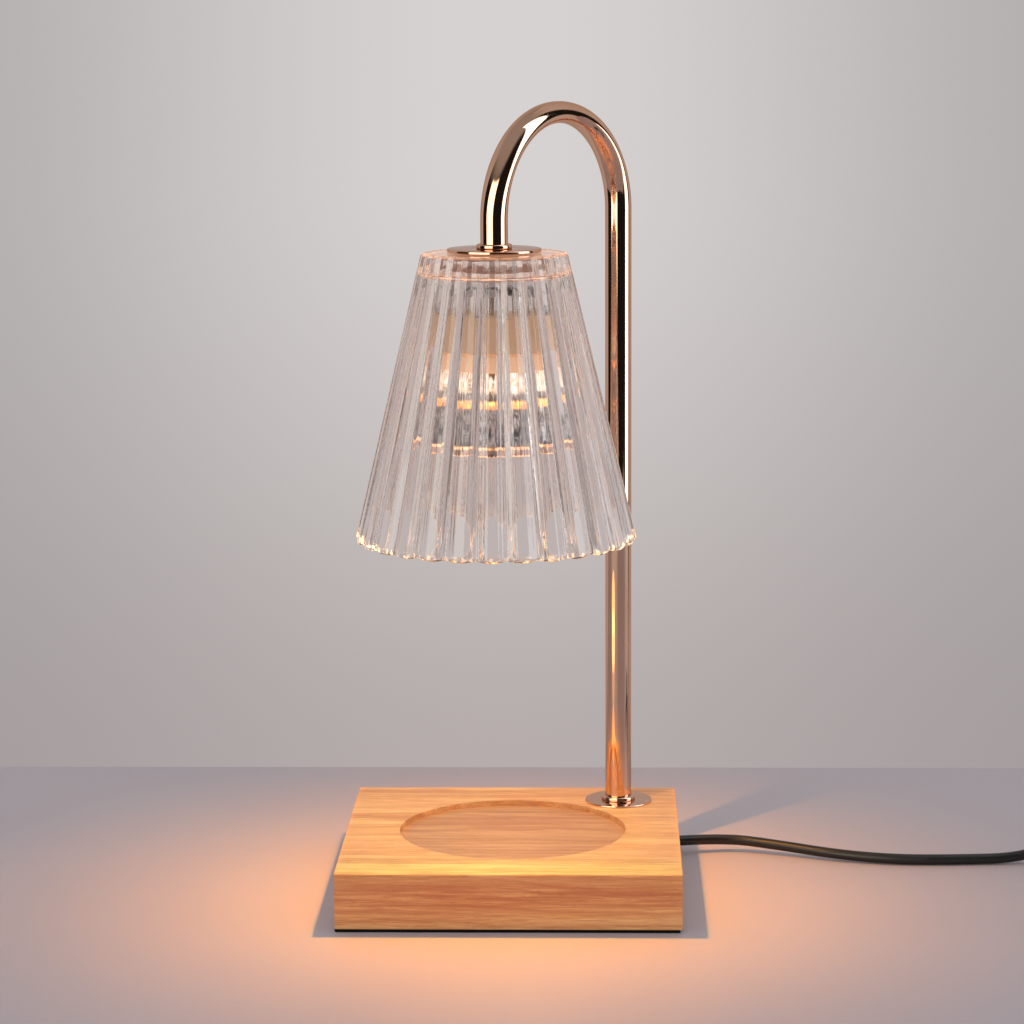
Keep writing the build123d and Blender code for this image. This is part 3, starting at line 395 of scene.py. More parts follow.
# pressed clear glass; painted glow: a warm emission at its edges, rim and outline stands in for the lamp's light that
# runs inside the wall
f = Finish("pressed_glass", Base_Color=(0.986, 0.934, 0.916, 1), Roughness=0.0, IOR=1.5, Transmission_Weight=1.0)
ripple = f.noise(60.0, 3.0, 0.5, vector=f.mapped(scale=(1, 1, 0.3)))
f.bump(ripple, 0.10, 0.0006)
draw_lines = f.noise(1.0, 3.0, 0.6, vector=f.mapped(scale=(650, 650, 7)))
f.bump(draw_lines, 0.10, 0.0004)
centred = f.mapped(location=(0.006, 0.021, 0))
parts = f.node("ShaderNodeSeparateXYZ")
f.link(centred, parts.inputs[0])
radius = f.math("POWER", f.math("ADD", f.math("MULTIPLY", parts.outputs[0], parts.outputs[0]), f.math("MULTIPLY", parts.outputs[1], parts.outputs[1])), 0.5)
level = parts.outputs[2]
# the thick roof is a little hazier than the wall
f.rough(f.math("ADD", f.span(f.noise(160.0, 4.0, 0.6), 0.45, 0.75, 0.0, 0.05), f.span(level, 0.2775, 0.2795, 0.0, 0.11)))
spots = f.noise(330.0, 2.0, 0.6)
# painted glow masks: warm emission along the top edge, over the top face, round the roof's inner edge and along the
# bottom rim
top_edge = f.math("MULTIPLY", f.span(level, 0.2870, 0.2879, 0.0, 0.55), f.span(radius, 0.0295, 0.0306, 0.0, 1.0))
top_face = f.math("MULTIPLY", f.span(level, 0.2878, 0.2881, 0.0, 0.16), f.span(radius, 0.0200, 0.0300, 0.3, 1.0))
inner_edge = f.math("MULTIPLY", f.span(f.math("ABSOLUTE", f.math("SUBTRACT", level, 0.2788)), 0.0002, 0.0007, 1.0, 0.0), f.span(radius, 0.0250, 0.0275, 0.0, 1.0))
inner_edge = f.math("MULTIPLY", inner_edge, f.span(radius, 0.0300, 0.0304, 1.0, 0.0))
rim = f.span(level, 0.1624, 0.1632, 0.55, 0.0)
sides = f.span(f.math("ABSOLUTE", parts.outputs[0]), 0.022, 0.048, 0.35, 1.0)
low_edge = f.math("MULTIPLY", rim, f.span(spots, 0.40, 0.64, 0.12, 1.0))
edges = f.math("ADD", f.math("ADD", top_edge, top_face), f.math("ADD", f.math("MULTIPLY", inner_edge, f.span(spots, 0.45, 0.62, 0.0, 0.9)), low_edge))
# painted outline glow, strongest where the glass turns edge-on to the view
rim_view = f.node("ShaderNodeLayerWeight", Blend=0.22)
painted_outline_glow = f.math("MULTIPLY", f.math("POWER", rim_view.outputs["Facing"], 3.5), 0.88)
painted_glow_colour = f.node("ShaderNodeMix", {"data_type": "RGBA"})
painted_glow_colour.inputs[6].default_value = (0, 0, 0, 1)
painted_glow_colour.inputs[7].default_value = (0.70, 0.31, 0.13, 1)
# the painted glow is weaker towards the back of the shade, in its lower part
near = f.math("MAXIMUM", f.span(parts.outputs[1], 0.0, 0.025, 1.0, 0.30), f.span(level, 0.175, 0.200, 0.0, 1.0))
f.link(f.math("MULTIPLY", f.math("MINIMUM", f.math("ADD", edges, painted_outline_glow), 1.0), near), painted_glow_colour.inputs[0])
# painted glints of light along the rim climb a little higher at its two ends
climb = f.math("SUBTRACT", level, f.span(f.math("ABSOLUTE", parts.outputs[0]), 0.047, 0.059, 0.0, 0.0022))
painted_rim_glints = f.math("MULTIPLY", f.math("MULTIPLY", f.span(climb, 0.1630, 0.1644, 1.0, 0.0), sides), f.span(f.noise(520.0, 1.0, 0.5), 0.55, 0.64, 0.0, 1.0))
painted_glow = f.mix(f.math("MULTIPLY", f.math("MINIMUM", painted_rim_glints, 1.0), near), painted_glow_colour.outputs[2], (2.2, 1.20, 0.50))
f.link(painted_glow, f.shader.inputs["Emission Color"])
f.shader.inputs["Emission Strength"].default_value = 1.0
clear = f.node("ShaderNodeBsdfTransparent")
path = f.node("ShaderNodeLightPath")
chosen = f.node("ShaderNodeMixShader")
f.link(path.outputs["Is Shadow Ray"], chosen.inputs[0])
f.link(f.shader.outputs[0], chosen.inputs[1])
f.link(clear.outputs[0], chosen.inputs[2])
f.link(chosen.outputs[0], f.out.inputs[0])
pressed_glass = f.material

# lamp glass, plain and clear
f = Finish("lamp_glass", Base_Color=(1.0, 0.98, 0.95, 1), Roughness=0.02, IOR=1.47, Transmission_Weight=1.0)
f.bump(f.noise(260.0, 2.0, 0.5), 0.15, 0.0003)
clear = f.node("ShaderNodeBsdfTransparent")
path = f.node("ShaderNodeLightPath")
chosen = f.node("ShaderNodeMixShader")
f.link(path.outputs["Is Shadow Ray"], chosen.inputs[0])
f.link(f.shader.outputs[0], chosen.inputs[1])
f.link(clear.outputs[0], chosen.inputs[2])
f.link(chosen.outputs[0], f.out.inputs[0])
lamp_glass = f.material

# wood: pale, with long fine fibres along X, reddish streaks, and short dark pores
f = Finish("wood", Roughness=0.45, Specular_IOR_Level=0.35)
axes = f.node("ShaderNodeSeparateXYZ")
f.link(f.place, axes.inputs[0])
bands = f.noise(150.0, 5.0, 0.62, 0.6, vector=f.mapped(scale=(0.05, 1, 1.0), rotation=(0.10, 0.03, 0.05)))
streaks = f.noise(560.0, 5.0, 0.72, 0.6, vector=f.mapped(scale=(0.040, 0.7, 1), rotation=(0, 0.025, 0.04)))
fibres = f.noise(1900.0, 4.0, 0.7, vector=f.mapped(scale=(0.035, 0.8, 1)))
pores = f.noise(2100.0, 2.0, 0.5, vector=f.mapped(scale=(0.09, 0.8, 1)))
patches = f.noise(24.0, 3.0, 0.5, vector=f.mapped(scale=(0.5, 1, 1)))
# growth rings round a pith that lies below the board: lines on the faces along X, arcs on the two end faces
pith_y = f.math("ADD", axes.outputs[1], -0.022)
pith_z = f.math("ADD", axes.outputs[2], 0.095)
pith = f.math("POWER", f.math("ADD", f.math("MULTIPLY", pith_y, pith_y), f.math("MULTIPLY", pith_z, pith_z)), 0.5)
sway = f.noise(9.0, 3.0, 0.55, vector=f.mapped(scale=(0.45, 1, 1)))
waver = f.noise(210.0, 3.0, 0.6, vector=f.mapped(scale=(0.05, 1, 1)))
turns = f.math("ADD", f.math("MULTIPLY", f.math("ADD", pith, f.math("ADD", f.math("MULTIPLY", sway, 0.022), f.math("MULTIPLY", waver, 0.0016))), 330.0), 0.0)
year = f.math("FRACT", turns)
late = f.ramp(year, (0.0, 0.10), (0.55, 0.25), (0.86, 1.0), (0.93, 0.85), (1.0, 0.10))
tone = f.math("ADD", f.math("MULTIPLY", bands, 0.40), f.math("MULTIPLY", fibres, 0.60))
base = f.ramp(tone, (0.38, (0.56, 0.225, 0.085)), (0.485, (0.735, 0.362, 0.139)), (0.59, (0.93, 0.565, 0.250)))
# a redder layer of the board shows at half its height on every side
layer = f.span(f.math("ABSOLUTE", f.math("SUBTRACT", axes.outputs[2], f.math("ADD", 0.0135, f.math("MULTIPLY", patches, 0.005)))), 0.0030, 0.0095, 1.0, 0.0)
red = f.ramp(f.math("ADD", f.math("MULTIPLY", streaks, 0.55), f.math("MULTIPLY", fibres, 0.45)), (0.46, 0.0), (0.54, 1.0))
base = f.mix(f.math("MULTIPLY", late, f.math("ADD", 0.20, f.math("MULTIPLY", layer, 0.38))), base, (0.53, 0.175, 0.076), "MIX")
base = f.mix(f.math("MULTIPLY", red, f.math("ADD", 0.12, f.math("MULTIPLY", layer, 0.64))), base, (0.52, 0.165, 0.075), "MIX")
# long wavy figure, stronger towards the back and the right
figure = f.noise(85.0, 4.0, 0.6, 1.2, vector=f.mapped(scale=(0.10, 0.62, 0.62), rotation=(0.0, 0.0, 0.09)))
reach = f.span(f.math("ADD", axes.outputs[1], f.math("MULTIPLY", axes.outputs[0], 0.5)), -0.04, 0.08, 0.12, 0.42)
base = f.mix(f.math("MULTIPLY", f.ramp(figure, (0.50, 0.0), (0.60, 1.0), (0.70, 0.25)), reach), base, (0.62, 0.205, 0.085), "MIX")
base = f.mix(f.math("MULTIPLY", f.ramp(pores, (0.29, 1.0), (0.36, 0.0)), f.math("ADD", 0.22, f.math("MULTIPLY", layer, 0.30))), base, (0.30, 0.10, 0.045), "MIX")
f.colour(base)
f.rough(f.span(fibres, 0.3, 0.7, 0.40, 0.58))
f.bump(fibres, 0.25, 0.0002)
f.bump(pores, 0.2, 0.0002)
wood = f.material

foam = varied("foam", (0.004, 0.004, 0.004), (0.011, 0.010, 0.010), (0.85, 0.95), 200.0, 1800.0, 0.6, 0.0003, Specular_IOR_Level=0.08)
zinc = varied("zinc", (0.62, 0.63, 0.65), (0.86, 0.86, 0.86), (0.10, 0.24), 120.0, 900.0, 0.1, 0.0001, Metallic=1.0)
# steel bracket whose colour runs in stretched streaks from near black to white: painted highlights and reflections
f = Finish("bracket_steel", Metallic=1.0)
f.colour(f.ramp(f.noise(1.0, 4.0, 0.6, vector=f.mapped(scale=(330, 330, 160))), (0.40, (0.10, 0.105, 0.12)), (0.50, (0.66, 0.67, 0.69)), (0.58, (1.0, 1.0, 1.0))))
f.rough(f.span(f.noise(300.0, 4.0, 0.6), 0.3, 0.7, 0.08, 0.22))
f.bump(f.noise(800.0, 3.0, 0.6), 0.6, 0.0005)
bracket_steel = f.material
# the soft washers carry a faint painted glow: a warm emission stands in for the light in the glass warming them
silicone = varied("silicone", (0.56, 0.33, 0.25), (0.66, 0.41, 0.32), (0.5, 0.65), 90.0, 900.0, 0.1, 0.0001, Emission_Color=(0.88, 0.56, 0.46, 1), Emission_Strength=0.085)
brass = varied("nickel_brass", (0.60, 0.57, 0.50), (0.74, 0.71, 0.64), (0.18, 0.3), 150.0, 1200.0, 0.08, 0.0001, Metallic=1.0)
moulding = varied("black_moulding", (0.012, 0.012, 0.013), (0.022, 0.022, 0.023), (0.38, 0.5), 50.0, 1500.0, 0.25, 0.00012)
sheath = varied("cord_sheath", (0.006, 0.006, 0.007), (0.013, 0.013, 0.014), (0.30, 0.42), 60.0, 1600.0, 0.15, 0.0001)
shell = varied("dimmer_shell", (0.014, 0.014, 0.015), (0.024, 0.024, 0.026), (0.42, 0.55), 40.0, 2200.0, 0.35, 0.00012)
knob = varied("dimmer_knob", (0.020, 0.020, 0.021), (0.032, 0.032, 0.034), (0.35, 0.45), 60.0, 2000.0, 0.25, 0.0001)
cores = varied("core_insulation", (0.05, 0.12, 0.33), (0.07, 0.16, 0.42), (0.35, 0.5), 100.0, 1500.0, 0.1, 0.0001)
leads = varied("lead_insulation", (0.68, 0.66, 0.62), (0.78, 0.76, 0.72), (0.45, 0.6), 100.0, 1500.0, 0.2, 0.0001)
crimps = varied("crimp_nylon", (0.66, 0.64, 0.58), (0.76, 0.74, 0.68), (0.4, 0.55), 120.0, 1200.0, 0.15, 0.0001)
board = varied("circuit_board", (0.02, 0.13, 0.06), (0.03, 0.19, 0.09), (0.35, 0.5), 200.0, 1200.0, 0.15, 0.0001)
potbody = varied("pot_body", (0.20, 0.20, 0.21), (0.30, 0.30, 0.31), (0.35, 0.5), 150.0, 1200.0, 0.15, 0.0001, Metallic=0.8)
potshaft = varied("pot_shaft", (0.58, 0.58, 0.58), (0.72, 0.72, 0.72), (0.2, 0.35), 150.0, 1200.0, 0.1, 0.0001, Metallic=1.0)
triac = varied("triac_body", (0.02, 0.02, 0.02), (0.04, 0.04, 0.04), (0.4, 0.55), 150.0, 1500.0, 0.2, 0.0001)
capbody = varied("capacitor_body", (0.42, 0.30, 0.04), (0.55, 0.40, 0.07), (0.35, 0.5), 120.0, 1200.0, 0.1, 0.0001)
choke = varied("choke_body", (0.35, 0.13, 0.06), (0.52, 0.22, 0.10), (0.3, 0.45), 300.0, 2500.0, 0.3, 0.0002, Metallic=0.7)

f = Finish("tungsten", Base_Color=(0.3, 0.25, 0.2, 1), Metallic=1.0, Roughness=0.4)
f.shader.inputs["Emission Color"].default_value = (1.0, 0.62, 0.26, 1)
f.shader.inputs["Emission Strength"].default_value = 60.0
f.colour(f.ramp(f.noise(900.0), (0.3, (0.2, 0.16, 0.13)), (0.7, (0.4, 0.34, 0.3))))
tungsten = f.material

# the reflector is mirror-coated up to its neck, where the coat ends and the lamp's light shows through the pressed
# glass; that light and the other warm bands here are painted glow, an emission
f = Finish("lamp_mirror", Base_Color=(0.85, 0.86, 0.88, 1), Metallic=1.0, Roughness=0.1)
parts = f.node("ShaderNodeSeparateXYZ")
f.link(f.place, parts.inputs[0])
level = parts.outputs[2]
# painted reflection: the mirror's colour runs in streaks from near black to white
f.colour(f.ramp(f.noise(1.0, 4.0, 0.65, 0.4, vector=f.mapped(scale=(420, 420, 130))), (0.40, (0.15, 0.16, 0.18)), (0.49, (0.62, 0.64, 0.67)), (0.57, (1.0, 1.0, 1.0))))
f.rough(f.span(f.noise(400.0, 3.0, 0.6), 0.3, 0.7, 0.06, 0.2))
f.bump(f.noise(500.0, 3.0, 0.6), 0.12, 0.0002)
# painted sparkle and glow bands, as emission: two warm lines at the rolled rim, a yellow ring where the facets begin,
# and the bright neck
painted_sparkle = f.ramp(f.noise(1.0, 3.0, 0.7, 0.5, vector=f.mapped(scale=(420, 420, 230))), (0.38, (0.10, 0.06, 0.03)), (0.455, (0.85, 0.46, 0.14)), (0.53, (1.0, 0.90, 0.78)), (0.61, (1.7, 1.6, 1.5)))
glow = f.ramp(
    f.span(level, 0.2, 0.24, 0.0, 1.0),
    (0.0, (1.0, 0.60, 0.26)), (0.056, (1.0, 0.60, 0.26)), (0.068, (0.22, 0.12, 0.08)), (0.122, (0.22, 0.12, 0.08)), (0.134, (1.0, 0.60, 0.26)), (0.150, (1.0, 0.56, 0.24)), (0.160, (0.0, 0.0, 0.0)),
    (0.30, (0.0, 0.0, 0.0)), (0.53, (0.05, 0.03, 0.02)), (0.555, (1.2, 0.55, 0.09)), (0.61, (1.3, 0.72, 0.20)), (0.635, (0.10, 0.07, 0.05)), (0.69, (0.16, 0.12, 0.09)), (0.72, (0.78, 0.70, 0.60)), (0.90, (0.72, 0.66, 0.58)), (0.93, (1.0, 0.48, 0.12)),
)
f.link(f.mix(1.0, glow, painted_sparkle, "MULTIPLY"), f.shader.inputs["Emission Color"])
f.shader.inputs["Emission Strength"].default_value = 1.12
lamp_mirror = f.material

# the holder and the lamp's foot carry a painted peach glow: an emission, warmer and brighter lower down, stands in for
# the light of the lamp below them
f = Finish("holder_ceramic", Roughness=0.35, Emission_Strength=0.19)
parts = f.node("ShaderNodeSeparateXYZ")
f.link(f.place, parts.inputs[0])
f.colour(f.ramp(f.noise(140.0, 4.0, 0.6), (0.3, (0.74, 0.55, 0.39)), (0.7, (0.84, 0.66, 0.50))))
f.bump(f.noise(1400.0, 3.0, 0.6), 0.2, 0.0001)
f.link(f.ramp(f.span(parts.outputs[2], 0.2445, 0.2605, 0.0, 1.0), (0.0, (1.0, 0.60, 0.33)), (1.0, (0.70, 0.44, 0.22))), f.shader.inputs["Emission Color"])
ceramic = f.material
f = Finish("lamp_ceramic", Roughness=0.35)
parts = f.node("ShaderNodeSeparateXYZ")
f.link(f.place, parts.inputs[0])
f.colour(f.ramp(f.noise(140.0, 4.0, 0.6), (0.3, (0.76, 0.60, 0.46)), (0.7, (0.84, 0.70, 0.56))))
f.bump(f.noise(1400.0, 3.0, 0.6), 0.2, 0.0001)
f.link(f.ramp(f.span(parts.outputs[2], 0.2365, 0.2445, 0.0, 1.0), (0.0, (1.0, 0.55, 0.30)), (0.85, (0.80, 0.42, 0.22)), (1.0, (0.30, 0.16, 0.08))), f.shader.inputs["Emission Color"])
f.shader.inputs["Emission Strength"].default_value = 0.54
foot_ceramic = f.material

made_of = {
    "wood_base": wood, "base_pad": foam,
    "base_flange": rose_satin, "base_collar": rose_satin, "pole_tube": rose_gold, "shade_collar": rose_gold, "top_disc": rose_disc,
    "disc_gasket": silicone, "roof_gasket": silicone,
    "shade_washer": zinc, "shade_nuts": zinc, "shade_nipple": zinc, "holder_bracket": bracket_steel, "bracket_screws": zinc,
    "base_nipple": zinc, "base_washer": zinc, "base_lock_washer": zinc, "base_nut": zinc, "dimmer_screws": zinc,
    "holder_body": ceramic, "holder_cap": ceramic, "bulb_foot": foot_ceramic,
    "holder_contacts": brass, "bulb_pins": brass, "plug_blades": brass,
    "glass_shade": pressed_glass, "bulb_lens": lamp_glass, "bulb_capsule": lamp_glass, "bulb_reflector": lamp_mirror,
    "bulb_filament": tungsten,
    "cord_bush": moulding, "dimmer_inlet_sleeve": moulding, "dimmer_outlet_sleeve": moulding, "plug_sleeve": moulding,
    "plug_body": moulding, "cord_ends": sheath,
    "supply_cores": cores, "dimmer_cores": cores, "lamp_leads": leads, "crimp_caps": crimps,
    "dimmer_bottom": shell, "dimmer_top": shell, "dimmer_dial": knob, "dimmer_shaft": potshaft,
    "dimmer_pot": potbody, "dimmer_board": board, "dimmer_triac": triac, "dimmer_capacitor": capbody, "dimmer_choke": choke,
}
for name, node in frame["nodes"].items():
    material = made_of.get(name, sheath)
    if node.data.materials:
        for i in range(len(node.data.materials)):
            node.data.materials[i] = material
    else:
        node.data.materials.append(material)
cord_to_dimmer.data.materials.append(sheath)
cord_to_plug.data.materials.append(sheath)

# ---------------------------------------------------------------- tie

# a soft strap holds the coil's turns together; it is drawn tight, so it presses a little into the lowest turns
tie_angle, tie_wide, tie_thick = math.radians(-150), 7.0, 0.55
tie_line = []
for x, z in rounded([(15.3, 0.55, 1.6), (40.3, 0.55, 1.9), (40.0, 10.0, 2.0), (15.6, 10.0, 2.0)], 8):
    tie_line.append(Vector((x, 0, z)))
tie_line = [Vector((x, 0, z)) for x, z in filled([(p.x, p.z) for p in tie_line], 1.2)]
out_way, along_way = Vector((math.cos(tie_angle), math.sin(tie_angle), 0)), Vector((-math.sin(tie_angle), math.cos(tie_angle), 0))
middle = Vector((28.0, 0, 5.2))
rings = []
n = len(tie_line)
for i, p in enumerate(tie_line):
    on = (tie_line[(i + 1) % n] - tie_line[i - 1]).normalized()
    away = Vector((on.z, 0, -on.x))
    if away.dot(p - middle) < 0:
        away = -away
    ring = []
    for along, up_by in ((-tie_wide / 2, 0.12), (-tie_wide / 2, tie_thick - 0.12), (-tie_wide / 2 + 0.25, tie_thick), (0, tie_thick), (tie_wide / 2 - 0.25, tie_thick), (tie_wide / 2, tie_thick - 0.12), (tie_wide / 2, 0.12), (tie_wide / 2 - 0.25, 0), (0, 0), (-tie_wide / 2 + 0.25, 0)):
        q = p + away * (up_by - 0.30 * (p.z < 2.0))
        ring.append(tuple((Vector((coil_x, coil_y, 0)) + out_way * q.x + along_way * along + Vector((0, 0, q.z))) / 1000))
    rings.append(ring)
points, faces = grid(rings, True, True)
strap_finish = varied("tie_strap", (0.010, 0.010, 0.011), (0.024, 0.024, 0.026), (0.75, 0.9), 300.0, 2600.0, 0.7, 0.0003)
coil_tie = mesh_object("coil_tie", points, faces, strap_finish, sharp=50)

# ---------------------------------------------------------------- glass shade

flutes, per_flute = 28, 40
glass_low, glass_high, crest_low, crest_high, depth = 162.2, 288.2, 61.75, 31.75, 0.038
roof = glass_high - 9.0


def flute(s):
    """Depth of the flute's skin at s = 0 on its crest to s = 1 in the valley, as a share of the valley's."""
    s = abs(s)
    flat, ease = 0.24, 0.15
    slope = 1 / (1 - flat - ease / 2 - 0.03)
    if s < flat:
        return 0.0
    if s < flat + ease:
        return slope * (s - flat) ** 2 / (2 * ease)
    depth_here = slope * (ease / 2 + s - flat - ease)
    if s < 0.94:
        return depth_here
    return depth_here - slope * (s - 0.94) ** 2 / 0.12


def glass_profile():
    """(r, z, weight) round the wall: weight 1 where the skin is fluted, 0 where it is round."""
    inner_low = crest_low * (1 - depth) - 2.6
    slope = (crest_low - crest_high) / (glass_high - glass_low)
    inner_high = (crest_low - slope * (roof - glass_low)) * (1 - depth) - 2.6
    corners = [
        (5.5, roof, 0.3), (inner_high, roof, 2.2), (inner_low, glass_low, 0.9),
        (crest_low, glass_low, 1.7), (crest_high, glass_high, 2.2), (5.5, glass_high, 0.3),
    ]
    out = []
    for r, z in filled(rounded(corners, 7), 7.0):
        edge = crest_low - slope * (z - glass_low)
        inner = (edge * (1 - depth) - 2.6) if z < roof else 5.5
        w = (r - inner) / max(edge - inner, 0.1)
        if z < roof + 0.01:
            w = min(1, max(0, w)) ** 1.0
        else:
            w = min(1, max(0, (r / edge - 0.72) / 0.22))
            w = w * w * (3 - 2 * w)
        out.append((r, z, w))
    return out


profile = glass_profile()
rings = []
for i in range(flutes * per_flute):
    a = 2 * math.pi * i / (flutes * per_flute)
    s = ((i / per_flute + 0.5) % 1.0 - 0.5) * 2
    cut = depth * flute(s)
    lines = math.sin(2 * math.pi * 4.0 * (abs(s) - 0.34)) if 0.34 < abs(s) < 0.96 else 0.0
    ring = []
    for r, z, w in profile:
        lift = 0.75 * flute(s) if z < glass_low + 3.0 else 0.0
        lift *= max(0.0, 1 - (z - glass_low) / 3.0)
        # the inside of the wall is a little fuller behind each crest
        fuller = 1.5 * (1 - flute(s)) * (1 - w) * min(1.0, max(0.0, (z - glass_low + 1.0) / 3.0)) * min(1.0, max(0.0, (roof - 3.0 - z) / 6.0))
        fine = 0.05 * lines * w * min(1.0, max(0.0, (z - glass_low - 1.0) / 4.0)) * min(1.0, max(0.0, (glass_high - 2.0 - z) / 4.0))
        rr = r * (1 - cut * w) - fuller + fine * r / 50
        ring.append(((shade[0] + rr * math.cos(a)) / 1000, (shade[1] + rr * math.sin(a)) / 1000, (z + lift) / 1000))
    rings.append(ring)
points, faces = grid(rings, True, True)
glass = mesh_object("glass_shade_skin", points, faces, pressed_glass, sharp=60, nodes=("glass_shade",))

# ---------------------------------------------------------------- gooseneck

direction = Vector((-0.6, -0.8, 0))
across = Vector((0.8, -0.6, 0))
tube_r, bore_r, bend_r, bend_z, flat_most = 6.0, 4.7, 45.0, 302.0, 0.194


def tube_stations():
    """(centre, in-plane direction, share of flattening) from the foot to the end of the leg."""
    stations = []
    for z in np.linspace(29.0, bend_z, 30)[:-1]:
        stations.append((Vector((pole[0], pole[1], z)), direction, 0.0))
    for deg in np.linspace(0, 180, 97):
        t = math.radians(deg)
        centre = Vector((pole[0], pole[1], bend_z)) + direction * bend_r * (1 - math.cos(t)) + Vector((0, 0, bend_r * math.sin(t)))
        side = direction * math.cos(t) - Vector((0, 0, math.sin(t)))
        u = min(1.0, min(deg, 180 - deg) / 36)
        stations.append((centre, side, flat_most * u * u * (3 - 2 * u)))
    for z in np.linspace(bend_z, 292.0, 5)[1:]:
        stations.append((Vector((shade[0], shade[1], z)), -direction, 0.0))
    return stations


around = 96
outer, inner = [], []
stations = tube_stations()
for centre, side, flat in stations:
    for ring_list, wall in ((outer, 0.0), (inner, tube_r - bore_r)):
        a_in, a_out = tube_r * (1 - flat) - wall, tube_r * (1 + 0.45 * flat) - wall
        ring = []
        for k in range(around):
            t = 2 * math.pi * k / around
            p = centre + side * (a_in * math.cos(t)) + across * (a_out * math.sin(t))
            ring.append(tuple(p / 1000))
        ring_list.append(ring)
# outside down the tube, then back up through the bore: one closed skin
loops = outer + inner[::-1]
points, faces = grid(loops, True, True)
tube = mesh_object("gooseneck", points, faces, rose_gold, sharp=50, nodes=("pole_tube",))


def ring_piece(name, centre, corners, nodes, material=rose_gold, segments=160, body="lamp"):
    points, faces = lathe(rounded(corners, 6), centre, segments)
    return mesh_object(name, points, faces, material, sharp=50, nodes=nodes, body=body)


ring_piece("foot_flange", pole, [(5.2, 26, 0.1), (15.5, 26, 0.1), (15.5, 27, 0.45), (5.2, 27, 0.1)], ("base_flange",), rose_satin)
ring_piece("foot_ring", pole, [(5.2, 27, 0.1), (7.75, 27, 0.4), (7.75, 29, 0.9), (5.2, 29, 0.1)], ("base_collar",), rose_satin)
ring_piece("leg_ring", shade, [(5.2, 290, 0.1), (7.75, 290, 0.4), (7.75, 292, 0.9), (5.2, 292, 0.1)], ("shade_collar",))
ring_piece("glass_disc", shade, [(5.2, 288.7, 0.1), (20.5, 288.7, 0.15), (20.5, 290, 0.5), (5.2, 290, 0.1)], ("top_disc",), rose_disc)

# the two soft washers are squeezed against the glass
ring_piece("top_washer", shade, [(5.2, 288.14, 0.05), (17, 288.14, 0.15), (17, 288.7, 0.15), (5.2, 288.7, 0.05)], ("disc_gasket",), silicone)
ring_piece("inner_washer", shade, [(5.2, 278.2, 0.05), (15, 278.2, 0.2), (15, 279.26, 0.2), (5.2, 279.26, 0.05)], ("roof_gasket",), silicone)

# ---------------------------------------------------------------- lamp

# pressed reflector: a plain neck, rows of facets down the bowl, and a rolled rim; smooth inside
neck_low = 236.9
outer_line = [(12.7, neck_low), (14.3, neck_low), (14.5, 235.6), (14.9, 232.0), (15.3, 229.2), (16.0, 226.6), (16.9, 224.6), (17.5, 223.4)]
rows = [(17.5, 223.4), (18.6, 219.6), (20.2, 215.6), (22.0, 211.6), (23.6, 207.9)]
rim_line = [(24.3, 206.5), (24.9, 206.1), (25.15, 205.6), (25.2, 204.9), (25.2, 203.1), (25.15, 202.5), (24.9, 202.1), (24.4, 202.0), (23.9, 202.0), (23.65, 202.15), (23.6, 202.5), (23.6, 205.3)]
inner_line = [(22.3, 208.4), (20.4, 212.2), (18.4, 216.6), (16.4, 221.5), (14.8, 225.8), (13.6, 229.5), (12.9, 233.4)]
rng = np.random.default_rng(7)
facets, per_facet = 26, 6
lean = rng.uniform(-1, 1, (len(rows), facets))
count = facets * per_facet
rings = []
for i in range(count):
    a = 2 * math.pi * i / count
    ring = []

    def put(r, z, turn_r=1.0):
        ring.append(((shade[0] + r * turn_r * math.cos(a)) / 1000, (shade[1] + r * turn_r * math.sin(a)) / 1000, z / 1000))

    for r, z in outer_line:
        ripple = 1 + 0.006 * math.cos(facets * a) * (z < 236.5)
        put(r, z, ripple)
    for k, ((r0, z0), (r1, z1)) in enumerate(zip(rows, rows[1:])):
        shift = (k % 2) / 2
        u = (i / per_facet + shift) % facets
        cell = int(u)
        t = u - cell - 0.5
        flat = math.cos(math.pi / facets) / math.cos(2 * math.pi * t / facets)
        tilt = 0.0016 * lean[k][cell] * t
        for v in (0.06, 0.5, 0.94):
            swell = 0.0035 * (1 - (2 * v - 1) ** 2)
            put(r0 + (r1 - r0) * v, z0 + (z1 - z0) * v, flat + tilt * 4 + swell)
    for r, z in rim_line:
        put(r, z)
    for r, z in inner_line:
        put(r, z)
    rings.append(ring)
points, faces = grid(rings, True, True)
mesh_object("lamp_reflector", points, faces, lamp_mirror, sharp=9, nodes=("bulb_reflector",), body="bulb")

# coiled filament, a helix capped at both ends; the straight ends it stands on are not drawn
coil_line, tube_line = [], []
for i in range(12 * 20 + 1):
    t = i / 20
    coil_line.append(Vector((shade[0] + 0.72 * math.cos(2 * math.pi * t), shade[1] + 0.72 * math.sin(2 * math.pi * t), 219.2 + 7.6 * t / 12)))
for i, p in enumerate(coil_line):
    on = (coil_line[min(i + 1, len(coil_line) - 1)] - coil_line[max(i - 1, 0)]).normalized()
    away = Vector((p.x - shade[0], p.y - shade[1], 0)).normalized()
    third = on.cross(away)
    tube_line.append([tuple((p + away * (0.16 * math.cos(k * math.pi / 4)) + third * (0.16 * math.sin(k * math.pi / 4))) / 1000) for k in range(8)])
points, faces = grid(tube_line, False, True)
faces += [tuple(range(8)), tuple(range(len(points) - 8, len(points)))]
mesh_object("lamp_filament", points, faces, tungsten, sharp=60, nodes=("bulb_filament",), body="bulb")

